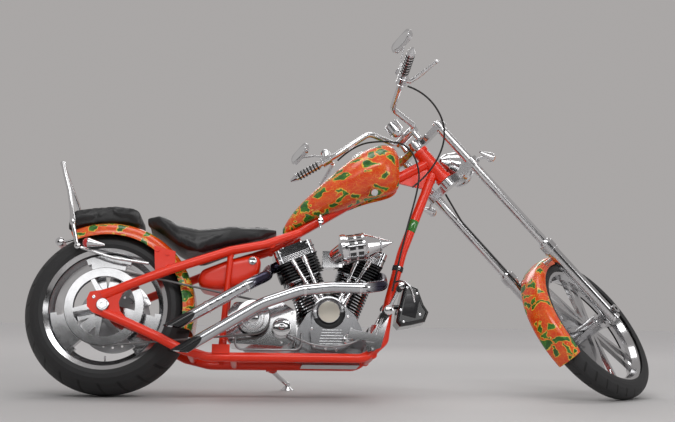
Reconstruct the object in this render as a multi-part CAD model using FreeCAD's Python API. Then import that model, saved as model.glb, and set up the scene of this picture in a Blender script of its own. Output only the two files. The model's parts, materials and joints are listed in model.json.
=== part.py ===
import FreeCAD, Part
import math
import os
from collections import namedtuple

# Chopper motorcycle. Millimetres. The bike is drawn upright and straight ahead with the rear axle
# above the origin: +X forward, +Y to the rider's left, +Z up. It is then steered onto its left stop
# and leaned over onto its side stand.

V = FreeCAD.Vector

# ---- stance ----
LEAN_DEG = 10.0            # lean to the left on the side stand
STEER_DEG = 45.0           # swing from straight ahead to either steering stop
# ---- rear wheel ----
REAR_R = 328.0             # over the tread
REAR_HALF_W = 125.0
REAR_CROWN_R = 165.0
REAR_LIP_R = 243.0
REAR_BEAD_R = 229.0
REAR_RIM_HALF_W = 113.0
# ---- front wheel ----
FRONT_R = 335.0
FRONT_HALF_W = 47.0
FRONT_CROWN_R = 52.0
FRONT_LIP_R = 281.0
FRONT_BEAD_R = 268.0
FRONT_RIM_HALF_W = 37.0
# ---- steering geometry ----
RAKE_DEG = 40.0            # steering axis from the vertical
TREE_DEG = 2.3             # extra rake of the fork tubes
HEAD_X, HEAD_Z = 1395.0, 911.0
FORK_OFFSET = 65.0         # tube plane ahead of the steering axis at the lower clamp
FORK_HALF = 119.0          # fork tube to centre plane
FORK_TUBE_R = 20.5
SLIDER_R = 27.0
SLIDER_START = 462.0       # along the tube from the lower clamp
FORK_LENGTH = 856.0        # lower clamp to front axle
UPPER_CLAMP = 212.0        # up the steering axis
STEM_R = 15.0
RUN_CLEAR = 0.08           # radial clearance of a running fit
# ---- frame ----
RAIL_R = 18.0
AXLE_PLATE_Y = 184.0       # centre of the axle plates
AXLE_PLATE_T = 12.0
AXLE_R = 12.5
AXLE_BORE_R = 8.0
AXLE_NUT_R = 21.0
SPACER_R = 19.0
BOTTOM_RAIL_Y = 149.0
BOTTOM_RAIL_Z = 139.0
DOWN_TUBE_R = 20.0
BACKBONE_R = 23.0
# ---- engine ----
CRANK_X, CRANK_Z = 883.0, 222.0
VEE_HALF_DEG = 22.5
CYL_START, CYL_END = 118.0, 268.0
HEAD_END, ROCKER_END = 352.0, 412.0
CYL_FIN_R, CYL_CORE_R = 77.0, 60.0
FIN_PITCH = 12.5
# ---- final drive, on the right ----
REAR_PULLEY_R = 147.0
GEAR_PULLEY_R = 64.0
GEAR_X, GEAR_Z = 572.0, 296.0
BELT_Y, BELT_W, BELT_T = -147.0, 26.0, 5.0
# ---- exhaust ----
PIPE_R = 22.0

RAKE = math.radians(RAKE_DEG)
TUBE_RAKE = math.radians(RAKE_DEG + TREE_DEG)
HEAD = V(HEAD_X, 0, HEAD_Z)
STEER_AXIS = V(-math.sin(RAKE), 0, math.cos(RAKE))
STEER_FWD = V(math.cos(RAKE), 0, math.sin(RAKE))
TUBE_DIR = V(math.sin(TUBE_RAKE), 0, -math.cos(TUBE_RAKE))
TUBE_FWD = V(math.cos(TUBE_RAKE), 0, math.sin(TUBE_RAKE))
CLAMP = HEAD + STEER_FWD * FORK_OFFSET
FRONT_AXLE = CLAMP + TUBE_DIR * FORK_LENGTH
REAR_AXLE = V(0, 0, REAR_R)
LEFT = V(0, 1, 0)


# ---------------------------------------------------------------- shape helpers
def vec(p):
    return V(*p)


def rod(a, b, r):
    a, b = vec(a), vec(b)
    return Part.makeCylinder(r, (b - a).Length, a, b - a)


def cone(a, b, r1, r2):
    a, b = vec(a), vec(b)
    return Part.makeCone(r1, r2, (b - a).Length, a, b - a)


def ball(p, r):
    return Part.makeSphere(r, vec(p))


def box(x0, y0, z0, x1, y1, z1):
    return Part.makeBox(x1 - x0, y1 - y0, z1 - z0, V(x0, y0, z0))


def path_wire(points, bends):
    """Straight runs joined by tangent arcs; bends holds one radius for each inner point."""
    pts = [vec(p) for p in points]
    if not isinstance(bends, (list, tuple)):
        bends = [bends] * (len(pts) - 2)
    edges, start = [], pts[0]
    for i in range(1, len(pts) - 1):
        a, c, b = pts[i - 1], pts[i], pts[i + 1]
        u, w = (a - c).normalize(), (b - c).normalize()
        half = u.getAngle(w) / 2
        if abs(half - math.pi / 2) < 1e-3:
            continue
        reach = bends[i - 1] / math.tan(half)
        p, q = c + u * reach, c + w * reach
        mid_dir = (u + w).normalize()
        centre = c + mid_dir * (bends[i - 1] / math.sin(half))
        m = centre - mid_dir * bends[i - 1]
        if (p - start).Length > 1e-3:
            edges.append(Part.LineSegment(start, p).toShape())
        edges.append(Part.Arc(p, m, q).toShape())
        start = q
    edges.append(Part.LineSegment(start, pts[-1]).toShape())
    return Part.Wire(edges)


def tube(points, r, bends=60.0):
    if len(points) == 2:
        return rod(points[0], points[1], r)
    wire = path_wire(points, bends)
    a, b = vec(points[0]), vec(points[1])
    ring = Part.Wire([Part.makeCircle(r, a, b - a)])
    return wire.makePipeShell([ring], True, False)


def mirrored(shape):
    return shape.mirror(V(0, 0, 0), V(0, 1, 0))


def both(shape):
    return [shape, mirrored(shape)]


def fuse(shapes):
    out = shapes[0].multiFuse(shapes[1:]) if len(shapes) > 1 else shapes[0]
    return out.removeSplitter()


def flat(points, y0, y1):
    """A plate drawn as x, z corners and spanning y0 to y1."""
    pts = [V(x, y0, z) for x, z in points]
    face = Part.Face(Part.makePolygon(pts + [pts[0]]))
    return face.extrude(V(0, y1 - y0, 0))


def spun(points, centre, axis=LEFT, angle=360.0):
    """Revolve (radius, along) corners about an axis through centre."""
    z_ref = V(0, 0, 1) if abs(axis.z) < 0.9 else V(1, 0, 0)
    side = (z_ref - axis * z_ref.dot(axis)).normalize()
    pts = [centre + side * r + axis * t for r, t in points]
    face = Part.Face(Part.makePolygon(pts + [pts[0]]))
    return face.revolve(centre, axis, angle)


def slab(centre, along, across, size, thick, r):
    """Rounded rectangle plate: size is (along, across); thick is along the normal."""
    n = along.cross(across)
    la, lb = size[0] / 2, size[1] / 2
    corners = [centre - n * (thick / 2) + along * (sa * la) + across * (sb * lb)
               for sa, sb in ((-1, -1), (1, -1), (1, 1), (-1, 1))]
    solid = Part.Face(Part.makePolygon(corners + [corners[0]])).extrude(n * thick)
    upright = [e for e in solid.Edges
               if abs(e.tangentAt(e.FirstParameter).dot(n)) > 0.99]
    return solid.makeFillet(r, upright)


def arc_band(centre, r_out, r_in, y0, y1, a0, a1):
    """Ring sector between two angles (degrees from +X, rising towards +Z)."""
    def at(r, a, y):
        a = math.radians(a)
        return V(centre.x + r * math.cos(a), y, centre.z + r * math.sin(a))
    am = (a0 + a1) / 2
    edges = [Part.Arc(at(r_out, a0, y0), at(r_out, am, y0), at(r_out, a1, y0)).toShape(),
             Part.LineSegment(at(r_out, a1, y0), at(r_in, a1, y0)).toShape(),
             Part.Arc(at(r_in, a1, y0), at(r_in, am, y0), at(r_in, a0, y0)).toShape(),
             Part.LineSegment(at(r_in, a0, y0), at(r_out, a0, y0)).toShape()]
    return Part.Face(Part.Wire(edges)).extrude(V(0, y1 - y0, 0))


# ---------------------------------------------------------------- wheels
def tyre_profile(radius, half_w, crown_r, bead_r, rim_half_w, steps=6):
    """Half section from the crown to the bead, mirrored, as (radius, along) corners."""
    y_edge = 0.82 * half_w
    half = []
    for i in range(steps + 1):
        y = y_edge * i / steps
        half.append((radius - crown_r + math.sqrt(crown_r ** 2 - y * y), y))
    r_edge = half[-1][0]
    wall = r_edge - bead_r
    half += [(bead_r + 0.66 * wall, 0.975 * half_w), (bead_r + 0.40 * wall, half_w),
             (bead_r + 0.14 * wall, 0.95 * half_w), (bead_r, rim_half_w - 8.0)]
    return [(r, -y) for r, y in reversed(half)] + half[1:]


def rim_section(lip_r, bead_r, half_w, drop):
    """Closed section of the barrel with two flanges."""
    w = half_w
    top = [(lip_r, -w), (lip_r, -w + 6), (bead_r, -w + 8), (bead_r, -w + 22),
           (bead_r - drop, -w + 38), (bead_r - drop, w - 38), (bead_r, w - 22),
           (bead_r, w - 8), (lip_r, w - 6), (lip_r, w)]
    low = [(bead_r - 7, w - 8), (bead_r - 7, w - 24), (bead_r - drop - 7, w - 42),
           (bead_r - drop - 7, -w + 42), (bead_r - 7, -w + 24), (bead_r - 7, -w + 8)]
    return top + low


def rim_room(lip_r, bead_r, half_w, lip_t, bead_t, gap=0.3):
    """Space cleared in a tyre for its rim."""
    r1, r2, r0 = lip_r + gap, bead_r + gap, bead_r - 60.0
    w, a, b = half_w + 6.0, half_w - lip_t - gap, half_w - bead_t - gap
    return [(r1, -w), (r1, -a), (r2, -b), (r2, b), (r1, a), (r1, w), (r0, w), (r0, -w)]


def spoke(centre, angle_deg, r0, r1, w0, w1, sweep_deg, y0, y1):
    """Tapered blade from radius r0 to r1, its outer end swept round by sweep_deg."""
    a0 = math.radians(angle_deg)
    a1 = math.radians(angle_deg + sweep_deg)
    corners = []
    for a, r, w in ((a0, r0, w0), (a1, r1, w1)):
        corners.append((a, r, w / 2))
        corners.append((a, r, -w / 2))
    order = [corners[0], corners[2], corners[3], corners[1]]
    pts = [(centre.x + r * math.cos(a) - s * math.sin(a),
            centre.z + r * math.sin(a) + s * math.cos(a)) for a, r, s in order]
    return flat(pts, y0, y1)


def build_rear_wheel():
    c = REAR_AXLE
    tyre = spun(tyre_profile(REAR_R, REAR_HALF_W, REAR_CROWN_R, REAR_BEAD_R, REAR_RIM_HALF_W), c)
    barrel = spun(rim_section(REAR_LIP_R, REAR_BEAD_R, REAR_RIM_HALF_W, 20.0), c)
    tyre = tyre.cut(spun(rim_room(REAR_LIP_R, REAR_BEAD_R, REAR_RIM_HALF_W, 6.0, 8.0), c))
    parts = [barrel, rod((0, -131, REAR_R), (0, 132, REAR_R), 44.0)]
    for k in range(3):
        a = 90.0 + 120.0 * k
        for da in (-21.0, 21.0):
            parts.append(spoke(c, a + da, 36.0, 213.0, 40.0, 50.0, -da * 0.35, -100.0, -62.0))
        parts.append(spoke(c, a, 150.0, 200.0, 90.0, 150.0, 0.0, -98.0, -66.0))
        parts.append(arc_band(c, 214, 190, -98, -66, a - 25, a + 25))
    rim = fuse(parts)
    bore = rod((0, -170, REAR_R), (0, 170, REAR_R), AXLE_R + RUN_CLEAR)
    rim = rim.cut(bore)
    y0, y1 = BELT_Y - BELT_W / 2 - 1.0, BELT_Y + BELT_W / 2 + 1.0
    ring = spun([(REAR_PULLEY_R, y0 + 2), (REAR_PULLEY_R, y1 - 2), (REAR_PULLEY_R + 3, y1 - 2),
                 (REAR_PULLEY_R + 3, y1), (118.0, y1), (118.0, y0), (REAR_PULLEY_R + 3, y0),
                 (REAR_PULLEY_R + 3, y0 + 2)], c)
    blades = [ring, rod((0, y0 - 1, REAR_R), (0, -131, REAR_R), 36.0)]
    for k in range(5):
        blades.append(spoke(c, 18.0 + 72.0 * k, 26.0, 121.0, 30.0, 15.0, 26.0, y0 + 5, y1 - 7))
    pulley = fuse(blades).cut(bore)
    disc = spun([(146.0, 137.0), (146.0, 142.0), (42.0, 142.0), (42.0, 132.0), (60.0, 132.0),
                 (60.0, 137.0)], c)
    disc = fuse([disc, rod((0, 132, REAR_R), (0, 146, REAR_R), 43.0)])
    holes = [rod((r * math.cos(t), 120, REAR_R + r * math.sin(t)),
                 (r * math.cos(t), 160, REAR_R + r * math.sin(t)), 5.0)
             for r, n in ((95.0, 16), (122.0, 20))
             for t in [2 * math.pi * i / n for i in range(n)]]
    disc = disc.cut(bore).cut(Part.makeCompound(holes))
    return {"rear_tyre": tyre, "rear_rim": rim, "rear_pulley": pulley, "rear_disc": disc}


def build_front_wheel():
    c = FRONT_AXLE
    tyre = spun(tyre_profile(FRONT_R, FRONT_HALF_W, FRONT_CROWN_R, FRONT_BEAD_R, FRONT_RIM_HALF_W), c)
    w, lip, bead = FRONT_RIM_HALF_W, FRONT_LIP_R, FRONT_BEAD_R
    barrel = spun([(lip, -w), (lip, -w + 5), (bead, -w + 7), (bead - 11, -12), (bead - 11, 12),
                   (bead, w - 7), (lip, w - 5), (lip, w), (bead - 7, w - 6),
                   (bead - 20, 10), (bead - 20, -10), (bead - 7, -w + 6)], c)
    tyre = tyre.cut(spun(rim_room(lip, bead, w, 5.0, 7.0), c))
    parts = [barrel, rod(c + V(0, -62, 0), c + V(0, 54, 0), 33.0)]
    for k in range(6):
        a = 90.0 + 60.0 * k
        for da in (-9.0, 9.0):
            parts.append(spoke(c, a + da * 2.4, 26.0, 254.0, 24.0, 13.0, -da * 1.5, -9.0, 9.0))
    rim = fuse(parts)
    bore = rod(c + V(0, -100, 0), c + V(0, 100, 0), AXLE_R + RUN_CLEAR)
    rim = rim.cut(bore)
    disc = spun([(146.0, 62.0), (146.0, 67.0), (50.0, 67.0), (50.0, 62.0)], c)
    disc = fuse([disc, rod(c + V(0, 54, 0), c + V(0, 72, 0), 54.0)])
    holes = [rod(c + V(r * math.cos(t), 50, r * math.sin(t)),
                 c + V(r * math.cos(t), 80, r * math.sin(t)), 5.0)
             for r, n in ((90.0, 14), (120.0, 20))
             for t in [2 * math.pi * i / n for i in range(n)]]
    disc = disc.cut(bore).cut(Part.makeCompound(holes))
    return {"front_tyre": tyre, "front_rim": rim, "front_disc": disc}


# ---------------------------------------------------------------- frame
UPPER_RAIL = [(-6, AXLE_PLATE_Y, 362), (87, 186, 405), (165, 184, 438), (240, 176, 470),
              (357, 158, 516), (475, 120, 566), (615, 80, 604), (760, 40, 668)]
LOWER_RAIL = [(2, AXLE_PLATE_Y, 300), (100, 186, 259), (165, 185, 230), (219, 181, 206), (298, 172, 166),
              (400, BOTTOM_RAIL_Y, BOTTOM_RAIL_Z), (1010, BOTTOM_RAIL_Y, BOTTOM_RAIL_Z),
              (1096, 95, 215), (1124, 14, 340)]
DOWN_TUBE = [(1112, 0, 300), (1132, 0, 392), (1190, 0, 600), (1330, 0, 950)]
BACKBONE = [(690, 0, 640), (960, 0, 805), (1310, 0, 1000)]
STAND_PIVOT = V(655, 180, 132)
STAND_FOOT_X, STAND_FOOT_Y = 728.0, 338.0
STAND_FOLDED = V(-0.975, 0.20, 0.06).normalize()
STAND_PIN_R = 8.0


def build_frame():
    parts = both(tube(UPPER_RAIL, RAIL_R, [120, 150, 150, 150, 120, 120]))
    parts += both(tube(LOWER_RAIL, RAIL_R, [150, 150, 120, 60, 90, 62, 60]))
    parts += [tube(DOWN_TUBE, DOWN_TUBE_R, [200, 300]), tube(BACKBONE, BACKBONE_R, [400])]
    top, low = HEAD + STEER_AXIS * 188, HEAD + STEER_AXIS * 20
    parts += [rod(low, top, 31.0), rod(low, low + STEER_AXIS * 16, 36.0),
              rod(top - STEER_AXIS * 16, top, 36.0)]
    parts.append(flat([(1180, 905), (1300, 880), (1335, 960), (1300, 985), (1230, 950)], -6, 6))
    parts += both(tube([(478, 112, 562), (453, 107, 192), (446, 138, 146)], 12.0, [40]))
    parts.append(rod((640, -95, 608), (640, 95, 608), 16.0))
    parts.append(rod((330, -172, 160), (330, 172, 160), 14.0))
    parts.append(rod((1046, -138, 156), (1046, 138, 156), 14.0))
    parts.append(rod((500, -BOTTOM_RAIL_Y, 139), (500, BOTTOM_RAIL_Y, 139), 14.0))
    y0, y1 = -AXLE_PLATE_Y - AXLE_PLATE_T / 2, -AXLE_PLATE_Y + AXLE_PLATE_T / 2
    plate = flat([(-62, 352), (-52, 378), (-10, 385), (70, 412), (96, 400), (70, 372), (58, 340),
                  (66, 305), (100, 272), (88, 250), (20, 278), (-40, 300), (-60, 322)], y0, y1)
    parts += both(plate)
    parts += both(flat([(196, 222), (292, 182), (300, 150), (216, 196)], -172, -162))
    parts.append(box(418, -168, 150, 486, -130, 186))
    k = stand_axis()
    parts += [rod(STAND_PIVOT - k * 18, STAND_PIVOT, 20.0),
              rod(STAND_PIVOT - k * 4, STAND_PIVOT + k * 15.5, STAND_PIN_R),
              box(632, 140, 116, 678, 168, 150)]
    parts += both(flat([(186, 470), (262, 482), (262, 552), (178, 574)], -152, -146))
    parts += both(rod((238, -172, 474), (238, -149, 492), 8.0))
    parts += both(rod((192, -157, 556), (192, -143.2, 556), 7.0))
    parts += both(rod((232, -157, 540), (232, -143.2, 540), 7.0))
    frame = fuse(parts)
    plate_in, plate_out = AXLE_PLATE_Y - AXLE_PLATE_T / 2, AXLE_PLATE_Y + AXLE_PLATE_T / 2
    rooms = [rod(low - STEER_AXIS * 9, top + STEER_AXIS * 9, STEM_R + RUN_CLEAR),
             rod((0, -230, REAR_R), (0, 230, REAR_R), AXLE_R + 0.3),
             rod((0, -plate_in, REAR_R), (0, plate_in, REAR_R), SPACER_R + 0.4)]
    rooms += both(rod((0, -230, REAR_R), (0, -plate_out, REAR_R), AXLE_NUT_R + 0.4))
    for room in rooms:
        frame = frame.cut(room)
    axle = rod((0, -203, REAR_R), (0, 203, REAR_R), AXLE_R - 0.02)
    axle = fuse([axle, rod((0, -205, REAR_R), (0, -plate_out, REAR_R), AXLE_NUT_R),
                 rod((0, plate_out, REAR_R), (0, 205, REAR_R), AXLE_NUT_R),
                 rod((0, -plate_in, REAR_R), (0, -163, REAR_R), SPACER_R),
                 rod((0, 147, REAR_R), (0, plate_in, REAR_R), SPACER_R)])
    axle = axle.cut(rod((0, -230, REAR_R), (0, 230, REAR_R), AXLE_BORE_R))
    return {"frame": frame, "rear_axle": axle}


# ---------------------------------------------------------------- engine and drive
def cylinder(lean_deg, exhaust_side):
    a = math.radians(lean_deg)
    axis = V(math.sin(a), 0, math.cos(a))
    fwd = V(math.cos(a), 0, -math.sin(a))
    base = V(CRANK_X, 0, CRANK_Z)
    rings = [(0.0, CYL_START), (CYL_CORE_R, CYL_START)]
    t = CYL_START + 8.0
    while t < CYL_END - 4.0:
        rings += [(CYL_CORE_R, t), (CYL_FIN_R, t), (CYL_FIN_R, t + 4.0), (CYL_CORE_R, t + 4.0)]
        t += FIN_PITCH
    rings += [(CYL_CORE_R, CYL_END), (0.0, CYL_END)]
    parts = [spun(rings, base, axis)]
    t = CYL_END
    parts.append(slab(base + axis * ((CYL_END + HEAD_END) / 2), fwd, LEFT, (126, 128),
                      HEAD_END - CYL_END, 20.0))
    while t < HEAD_END - 6.0:
        parts.append(slab(base + axis * (t + 3), fwd, LEFT, (164, 172), 4.5, 26.0))
        t += FIN_PITCH
    mid = base + axis * ((HEAD_END + ROCKER_END) / 2)
    cover = slab(mid, fwd, LEFT, (168, 168), ROCKER_END - HEAD_END, 24.0)
    parts.append(cover)
    parts.append(slab(mid + axis * 33, fwd, LEFT, (112, 138), 10.0, 20.0))
    port = base + axis * 312 + fwd * (62 * exhaust_side) - LEFT * 20
    parts.append(rod(port, port + fwd * (34 * exhaust_side), 27.0))
    room = box(CRANK_X + 0.5, -150, 200, CRANK_X + 600, 150, 800)
    if exhaust_side < 0:
        room = box(CRANK_X - 600, -150, 200, CRANK_X - 0.5, 150, 800)
    return fuse(parts).common(room)


def build_engine():
    profile = [(770, 150), (1000, 150), (1022, 200), (1010, 262), (978, 322), (936, 352),
               (830, 352), (788, 322), (752, 262), (746, 190)]
    case = flat(profile, -84, 84)
    case = case.makeFillet(16.0, [e for e in case.Edges if abs(e.tangentAt(e.FirstParameter).y) > 0.9])
    deck = [case]
    for lean in (-VEE_HALF_DEG, VEE_HALF_DEG):
        a = math.radians(lean)
        axis, base = V(math.sin(a), 0, math.cos(a)), V(CRANK_X, 0, CRANK_Z)
        deck.append(rod(base + axis * 60, base + axis * CYL_START, 70.0))
    cover = flat([(806, 178), (900, 166), (962, 196), (972, 262), (948, 338), (905, 372),
                  (850, 372), (812, 330), (798, 250)], -128, -84)
    cover = cover.makeFillet(14.0, [e for e in cover.Edges
                                    if abs(e.tangentAt(e.FirstParameter).y) > 0.9])
    disc_at = (872, 322)
    deck += [cover, rod((disc_at[0], -142, disc_at[1]), (disc_at[0], -128, disc_at[1]), 43.0),
             rod((946, -140, 214), (946, -128, 214), 20.0),
             rod((1040, -40, 215), (1000, -40, 215), 38.0)]
    deck.append(box(770, -70, 120, 1000, 70, 150))
    gear = flat([(486, 200), (690, 190), (744, 214), (744, 330), (690, 364), (500, 364), (470, 320),
                 (470, 230)], -96, 90)
    gear = gear.makeFillet(18.0, [e for e in gear.Edges
                                  if abs(e.tangentAt(e.FirstParameter).y) > 0.9])
    gx, gz = GEAR_X, GEAR_Z
    gear = fuse([gear, rod((gx, -134, gz), (gx, -96, gz), 40.0),
                 rod((gx, -172, gz), (gx, -134, gz), GEAR_PULLEY_R - 0.5),
                 rod((gx, -186, gz - 8), (gx, -172, gz - 8), 46.0),
                 rod((686, -128, 262), (686, -96, 262), 38.0)])
    sides = []
    x0, z0, x1, z1 = CRANK_X, 240.0, 612.0, 268.0
    for r, y0, y1 in ((106.0, 92.0, 126.0), (78.0, 126.0, 152.0)):
        d = V(x1 - x0, 0, z1 - z0)
        n = V(-d.z, 0, d.x).normalize() * r
        a, b = V(x0, y0, z0), V(x1, y0, z1)
        e = d.normalize() * r
        wire = Part.Wire([Part.LineSegment(a - n, b - n).toShape(),
                          Part.Arc(b - n, b + e, b + n).toShape(),
                          Part.LineSegment(b + n, a + n).toShape(),
                          Part.Arc(a + n, a - e, a - n).toShape()])
        sides.append(Part.Face(wire).extrude(V(0, y1 - y0, 0)))
    primary = fuse(sides + [rod((x0, 152, z0), (x0, 160, z0), 56.0),
                            rod((x1, 152, z1), (x1, 160, z1), 66.0)])
    base = V(CRANK_X, 0, CRANK_Z)
    rods = []
    for lean, feet in ((-VEE_HALF_DEG, ((838, 366), (856, 370))),
                       (VEE_HALF_DEG, ((912, 370), (930, 364)))):
        a = math.radians(lean)
        axis, fwd = V(math.sin(a), 0, math.cos(a)), V(math.cos(a), 0, -math.sin(a))
        for i, (fx, fz) in enumerate(feet):
            top = base + axis * (HEAD_END - 2) + fwd * (-24 + 48 * i) + V(0, -92, 0)
            foot = V(fx, -104, fz - 8)
            d = (top - foot).normalize()
            rods += [rod(foot, top, 8.0), rod(foot, foot + d * 26, 12.0),
                     rod(top - d * 26, top, 12.0)]
    rods.append(box(826, -112, 346, 942, -96, 366))
    rods = fuse(rods)
    carb = fuse([rod((CRANK_X, -60, 530), (CRANK_X, -128, 530), 26.0),
                 box(845, -150, 500, 925, -112, 566),
                 spun([(0, 0), (60, 0), (62, 12), (60, 22), (54, 24), (54, 92), (56, 96),
                       (50, 104), (0, 214)], V(915, -196, 560), V(0.985, -0.03, 0.17).normalize()),
                 rod((900, -150, 545), (930, -196, 562), 34.0)])
    return {"engine_block": fuse(deck), "front_cylinder": cylinder(VEE_HALF_DEG, 1),
            "rear_cylinder": cylinder(-VEE_HALF_DEG, -1), "gearbox": gear,
            "primary_cover": primary, "pushrod_tubes": rods, "air_cleaner": carb}


def build_belt():
    """A closed loop with a straight run above and below the two pulleys."""
    gap = 0.6
    a, b = V(0, 0, REAR_R), V(GEAR_X, 0, GEAR_Z)
    solids = []
    for extra in (gap + BELT_T, gap):
        ra, rb = REAR_PULLEY_R + extra, GEAR_PULLEY_R + extra
        d = b - a
        tilt = math.atan2(d.z, d.x)
        swing = math.acos((ra - rb) / d.Length)
        ends = []
        for s in (1, -1):
            n = V(math.cos(tilt + s * swing), 0, math.sin(tilt + s * swing))
            ends.append((a + n * ra, b + n * rb))
        back = a - d.normalize() * ra
        front = b + d.normalize() * rb
        wire = Part.Wire([Part.LineSegment(ends[0][0], ends[0][1]).toShape(),
                          Part.Arc(ends[0][1], front, ends[1][1]).toShape(),
                          Part.LineSegment(ends[1][1], ends[1][0]).toShape(),
                          Part.Arc(ends[1][0], back, ends[0][0]).toShape()])
        solids.append(Part.Face(wire).extrude(V(0, BELT_W - 6, 0)))
    belt = solids[0].cut(solids[1])
    belt.translate(V(0, BELT_Y - (BELT_W - 6) / 2, 0))
    return {"final_belt": belt}


EXHAUSTS = {
    "front_exhaust": ([(1046, -20, 482), (1096, -40, 486), (1078, -196, 420), (1000, -240, 400),
                       (871, -246, 400), (755, -246, 386), (604, -246, 332), (400, -246, 208)],
                      [38, 46, 60, 200, 200, 300]),
    "rear_exhaust": ([(700, -20, 540), (634, -30, 508), (622, -190, 452), (560, -236, 412),
                      (370, -240, 300)], [38, 46, 60]),
}
TIP_RUN = 150.0


def build_exhausts():
    out = {}
    for name, (points, bends) in EXHAUSTS.items():
        end, before = vec(points[-1]), vec(points[-2])
        d = (end - before).normalize()
        skin = tube(points, PIPE_R, bends)
        tip = end + d * TIP_RUN
        run = rod(end - d * 0.5, tip, PIPE_R)
        slash = V(d.x, 0, d.z).normalize()
        block = slab(tip + slash * 60, slash, LEFT, (160, 120), 120, 2.0)
        block.rotate(tip, LEFT, -52)
        out[name] = fuse([skin, run]).cut(block)
        bore = rod(tip - d * 110, tip + d * 40, PIPE_R - 3)
        out[name] = out[name].cut(bore)
    return out


# ---------------------------------------------------------------- stance
def crown_drop(axis_up, radius, crown_r):
    """Height of a wheel's centre above the ground when its axle rises by axis_up."""
    return (radius - crown_r) * math.sqrt(1.0 - axis_up ** 2) + crown_r


def steer_rotation():
    return FreeCAD.Rotation(STEER_AXIS, STEER_DEG)


def steered(p):
    return HEAD + steer_rotation().multVec(vec(p) - HEAD)


def stance():
    """Rotation that leans the bike and pitches it until both tyres touch the ground."""
    front_c = steered(FRONT_AXLE)
    front_a = steer_rotation().multVec(LEFT)
    pitch = 0.0
    for _ in range(30):
        rot = FreeCAD.Rotation(V(1, 0, 0), -LEAN_DEG).multiply(FreeCAD.Rotation(LEFT, pitch))
        low_r = rot.multVec(REAR_AXLE).z - crown_drop(rot.multVec(LEFT).z, REAR_R, REAR_CROWN_R)
        low_f = rot.multVec(front_c).z - crown_drop(rot.multVec(front_a).z, FRONT_R, FRONT_CROWN_R)
        pitch += math.degrees((low_f - low_r) / (front_c.x * math.cos(math.radians(LEAN_DEG))))
    return rot, low_r


def ground_point(x, y):
    """Point of the ground plane below x, y of the upright bike."""
    rot, ground = stance()
    up = rot.inverted().multVec(V(0, 0, 1))
    return V(x, y, (ground - up.x * x - up.y * y) / up.z), up


def stand_direction():
    foot, _ = ground_point(STAND_FOOT_X, STAND_FOOT_Y)
    return (foot - STAND_PIVOT).normalize()


def stand_axis():
    diff = stand_direction() - STAND_FOLDED
    return (LEFT - diff * (LEFT.dot(diff) / diff.dot(diff))).normalize()


def stand_swing_deg():
    """Angle from deployed to folded about the stand's pivot."""
    k = stand_axis()
    a, b = stand_direction(), STAND_FOLDED
    a, b = a - k * a.dot(k), b - k * b.dot(k)
    return math.degrees(math.atan2(a.cross(b).dot(k), a.dot(b))) % 360.0


def build_stand():
    k = stand_axis()
    foot, up = ground_point(STAND_FOOT_X, STAND_FOOT_Y)
    hub_a, hub_b = STAND_PIVOT + k * 2, STAND_PIVOT + k * 16
    root = STAND_PIVOT + k * 9
    down = stand_direction()
    ankle = foot + up * 22
    leg = fuse([rod(hub_a, hub_b, 18.0), cone(root + down * 9, root + down * 30, 6.0, 9.5),
                rod(root + down * 29, ankle, 9.5), ball(ankle, 12.0),
                cone(foot, foot + up * 14, 30.0, 14.0)])
    return {"side_stand": leg.cut(rod(hub_a - k * 5, hub_b + k * 5, STAND_PIN_R + RUN_CLEAR))}


# ---------------------------------------------------------------- tanks, seats, fenders
# station x: underside z, top z, half width
TANK = [(688, 654, 690, 14), (760, 700, 797, 64), (860, 748, 895, 100), (965, 785, 990, 124),
        (1060, 820, 1053, 128), (1130, 838, 1071, 110), (1176, 866, 1036, 62)]
SEAT = [(138, 676, 712, 104), (192, 646, 716, 128), (262, 592, 668, 150), (345, 552, 648, 158),
        (470, 596, 668, 140), (600, 630, 682, 92), (668, 666, 688, 46)]


def oval_ring(x, low, high, half):
    """Oval section across the tank."""
    centre = V(x, 0, (high + low) / 2)
    pts = [centre + V(0, half * math.sin(t), (high - low) / 2 * math.cos(t))
           for t in [math.pi * i / 4 for i in range(8)]]
    return Part.Wire([Part.Arc(pts[i], pts[i + 1], pts[(i + 2) % 8]).toShape() for i in (0, 2, 4, 6)])


def build_tanks():
    rings = [oval_ring(*row) for row in TANK]
    tank = Part.makeLoft(rings, True, False)
    a, b = vec(BACKBONE[0]), vec(BACKBONE[1])
    c = vec(BACKBONE[2])
    room = BACKBONE_R + 5
    tunnel = [rod(a - (b - a) * 0.2, b, room), rod(b, c + (c - b) * 0.1, room), ball(b, room),
              flat([(620, 600), (b.x, b.z), (1340, 1017), (1340, 720), (960, 600)], -room, room)]
    for cutter in tunnel:
        tank = tank.cut(cutter)
    side = [(345, 452), (362, 495), (470, 540), (560, 560), (592, 556), (602, 530), (590, 470),
            (520, 430), (420, 414), (365, 424)]
    oil = flat(side, -98, 98)
    oil = oil.makeFillet(22.0, [e for e in oil.Edges
                                if abs(e.tangentAt(e.FirstParameter).y) < 0.1])
    return {"fuel_tank": tank, "oil_tank": oil}


def seat_ring(x, low, high, half):
    r = min(20.0, (high - low) * 0.45, half * 0.8)
    pts = [(-half + r, low), (half - r, low), (half, low + r), (half, high - r),
           (half - r, high), (-half + r, high), (-half, high - r), (-half, low + r)]
    c = [(half - r, low + r), (half - r, high - r), (-half + r, high - r), (-half + r, low + r)]
    edges = []
    for i in range(4):
        a, b = pts[2 * i], pts[2 * i + 1]
        nxt = pts[(2 * i + 2) % 8]
        edges.append(Part.LineSegment(V(x, *a), V(x, *b)).toShape())
        cy, cz = c[i]
        mx, mz = (b[0] + nxt[0]) / 2 - cy, (b[1] + nxt[1]) / 2 - cz
        s = r / math.hypot(mx, mz)
        edges.append(Part.Arc(V(x, *b), V(x, cy + mx * s, cz + mz * s), V(x, *nxt)).toShape())
    return Part.Wire(edges)


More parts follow.
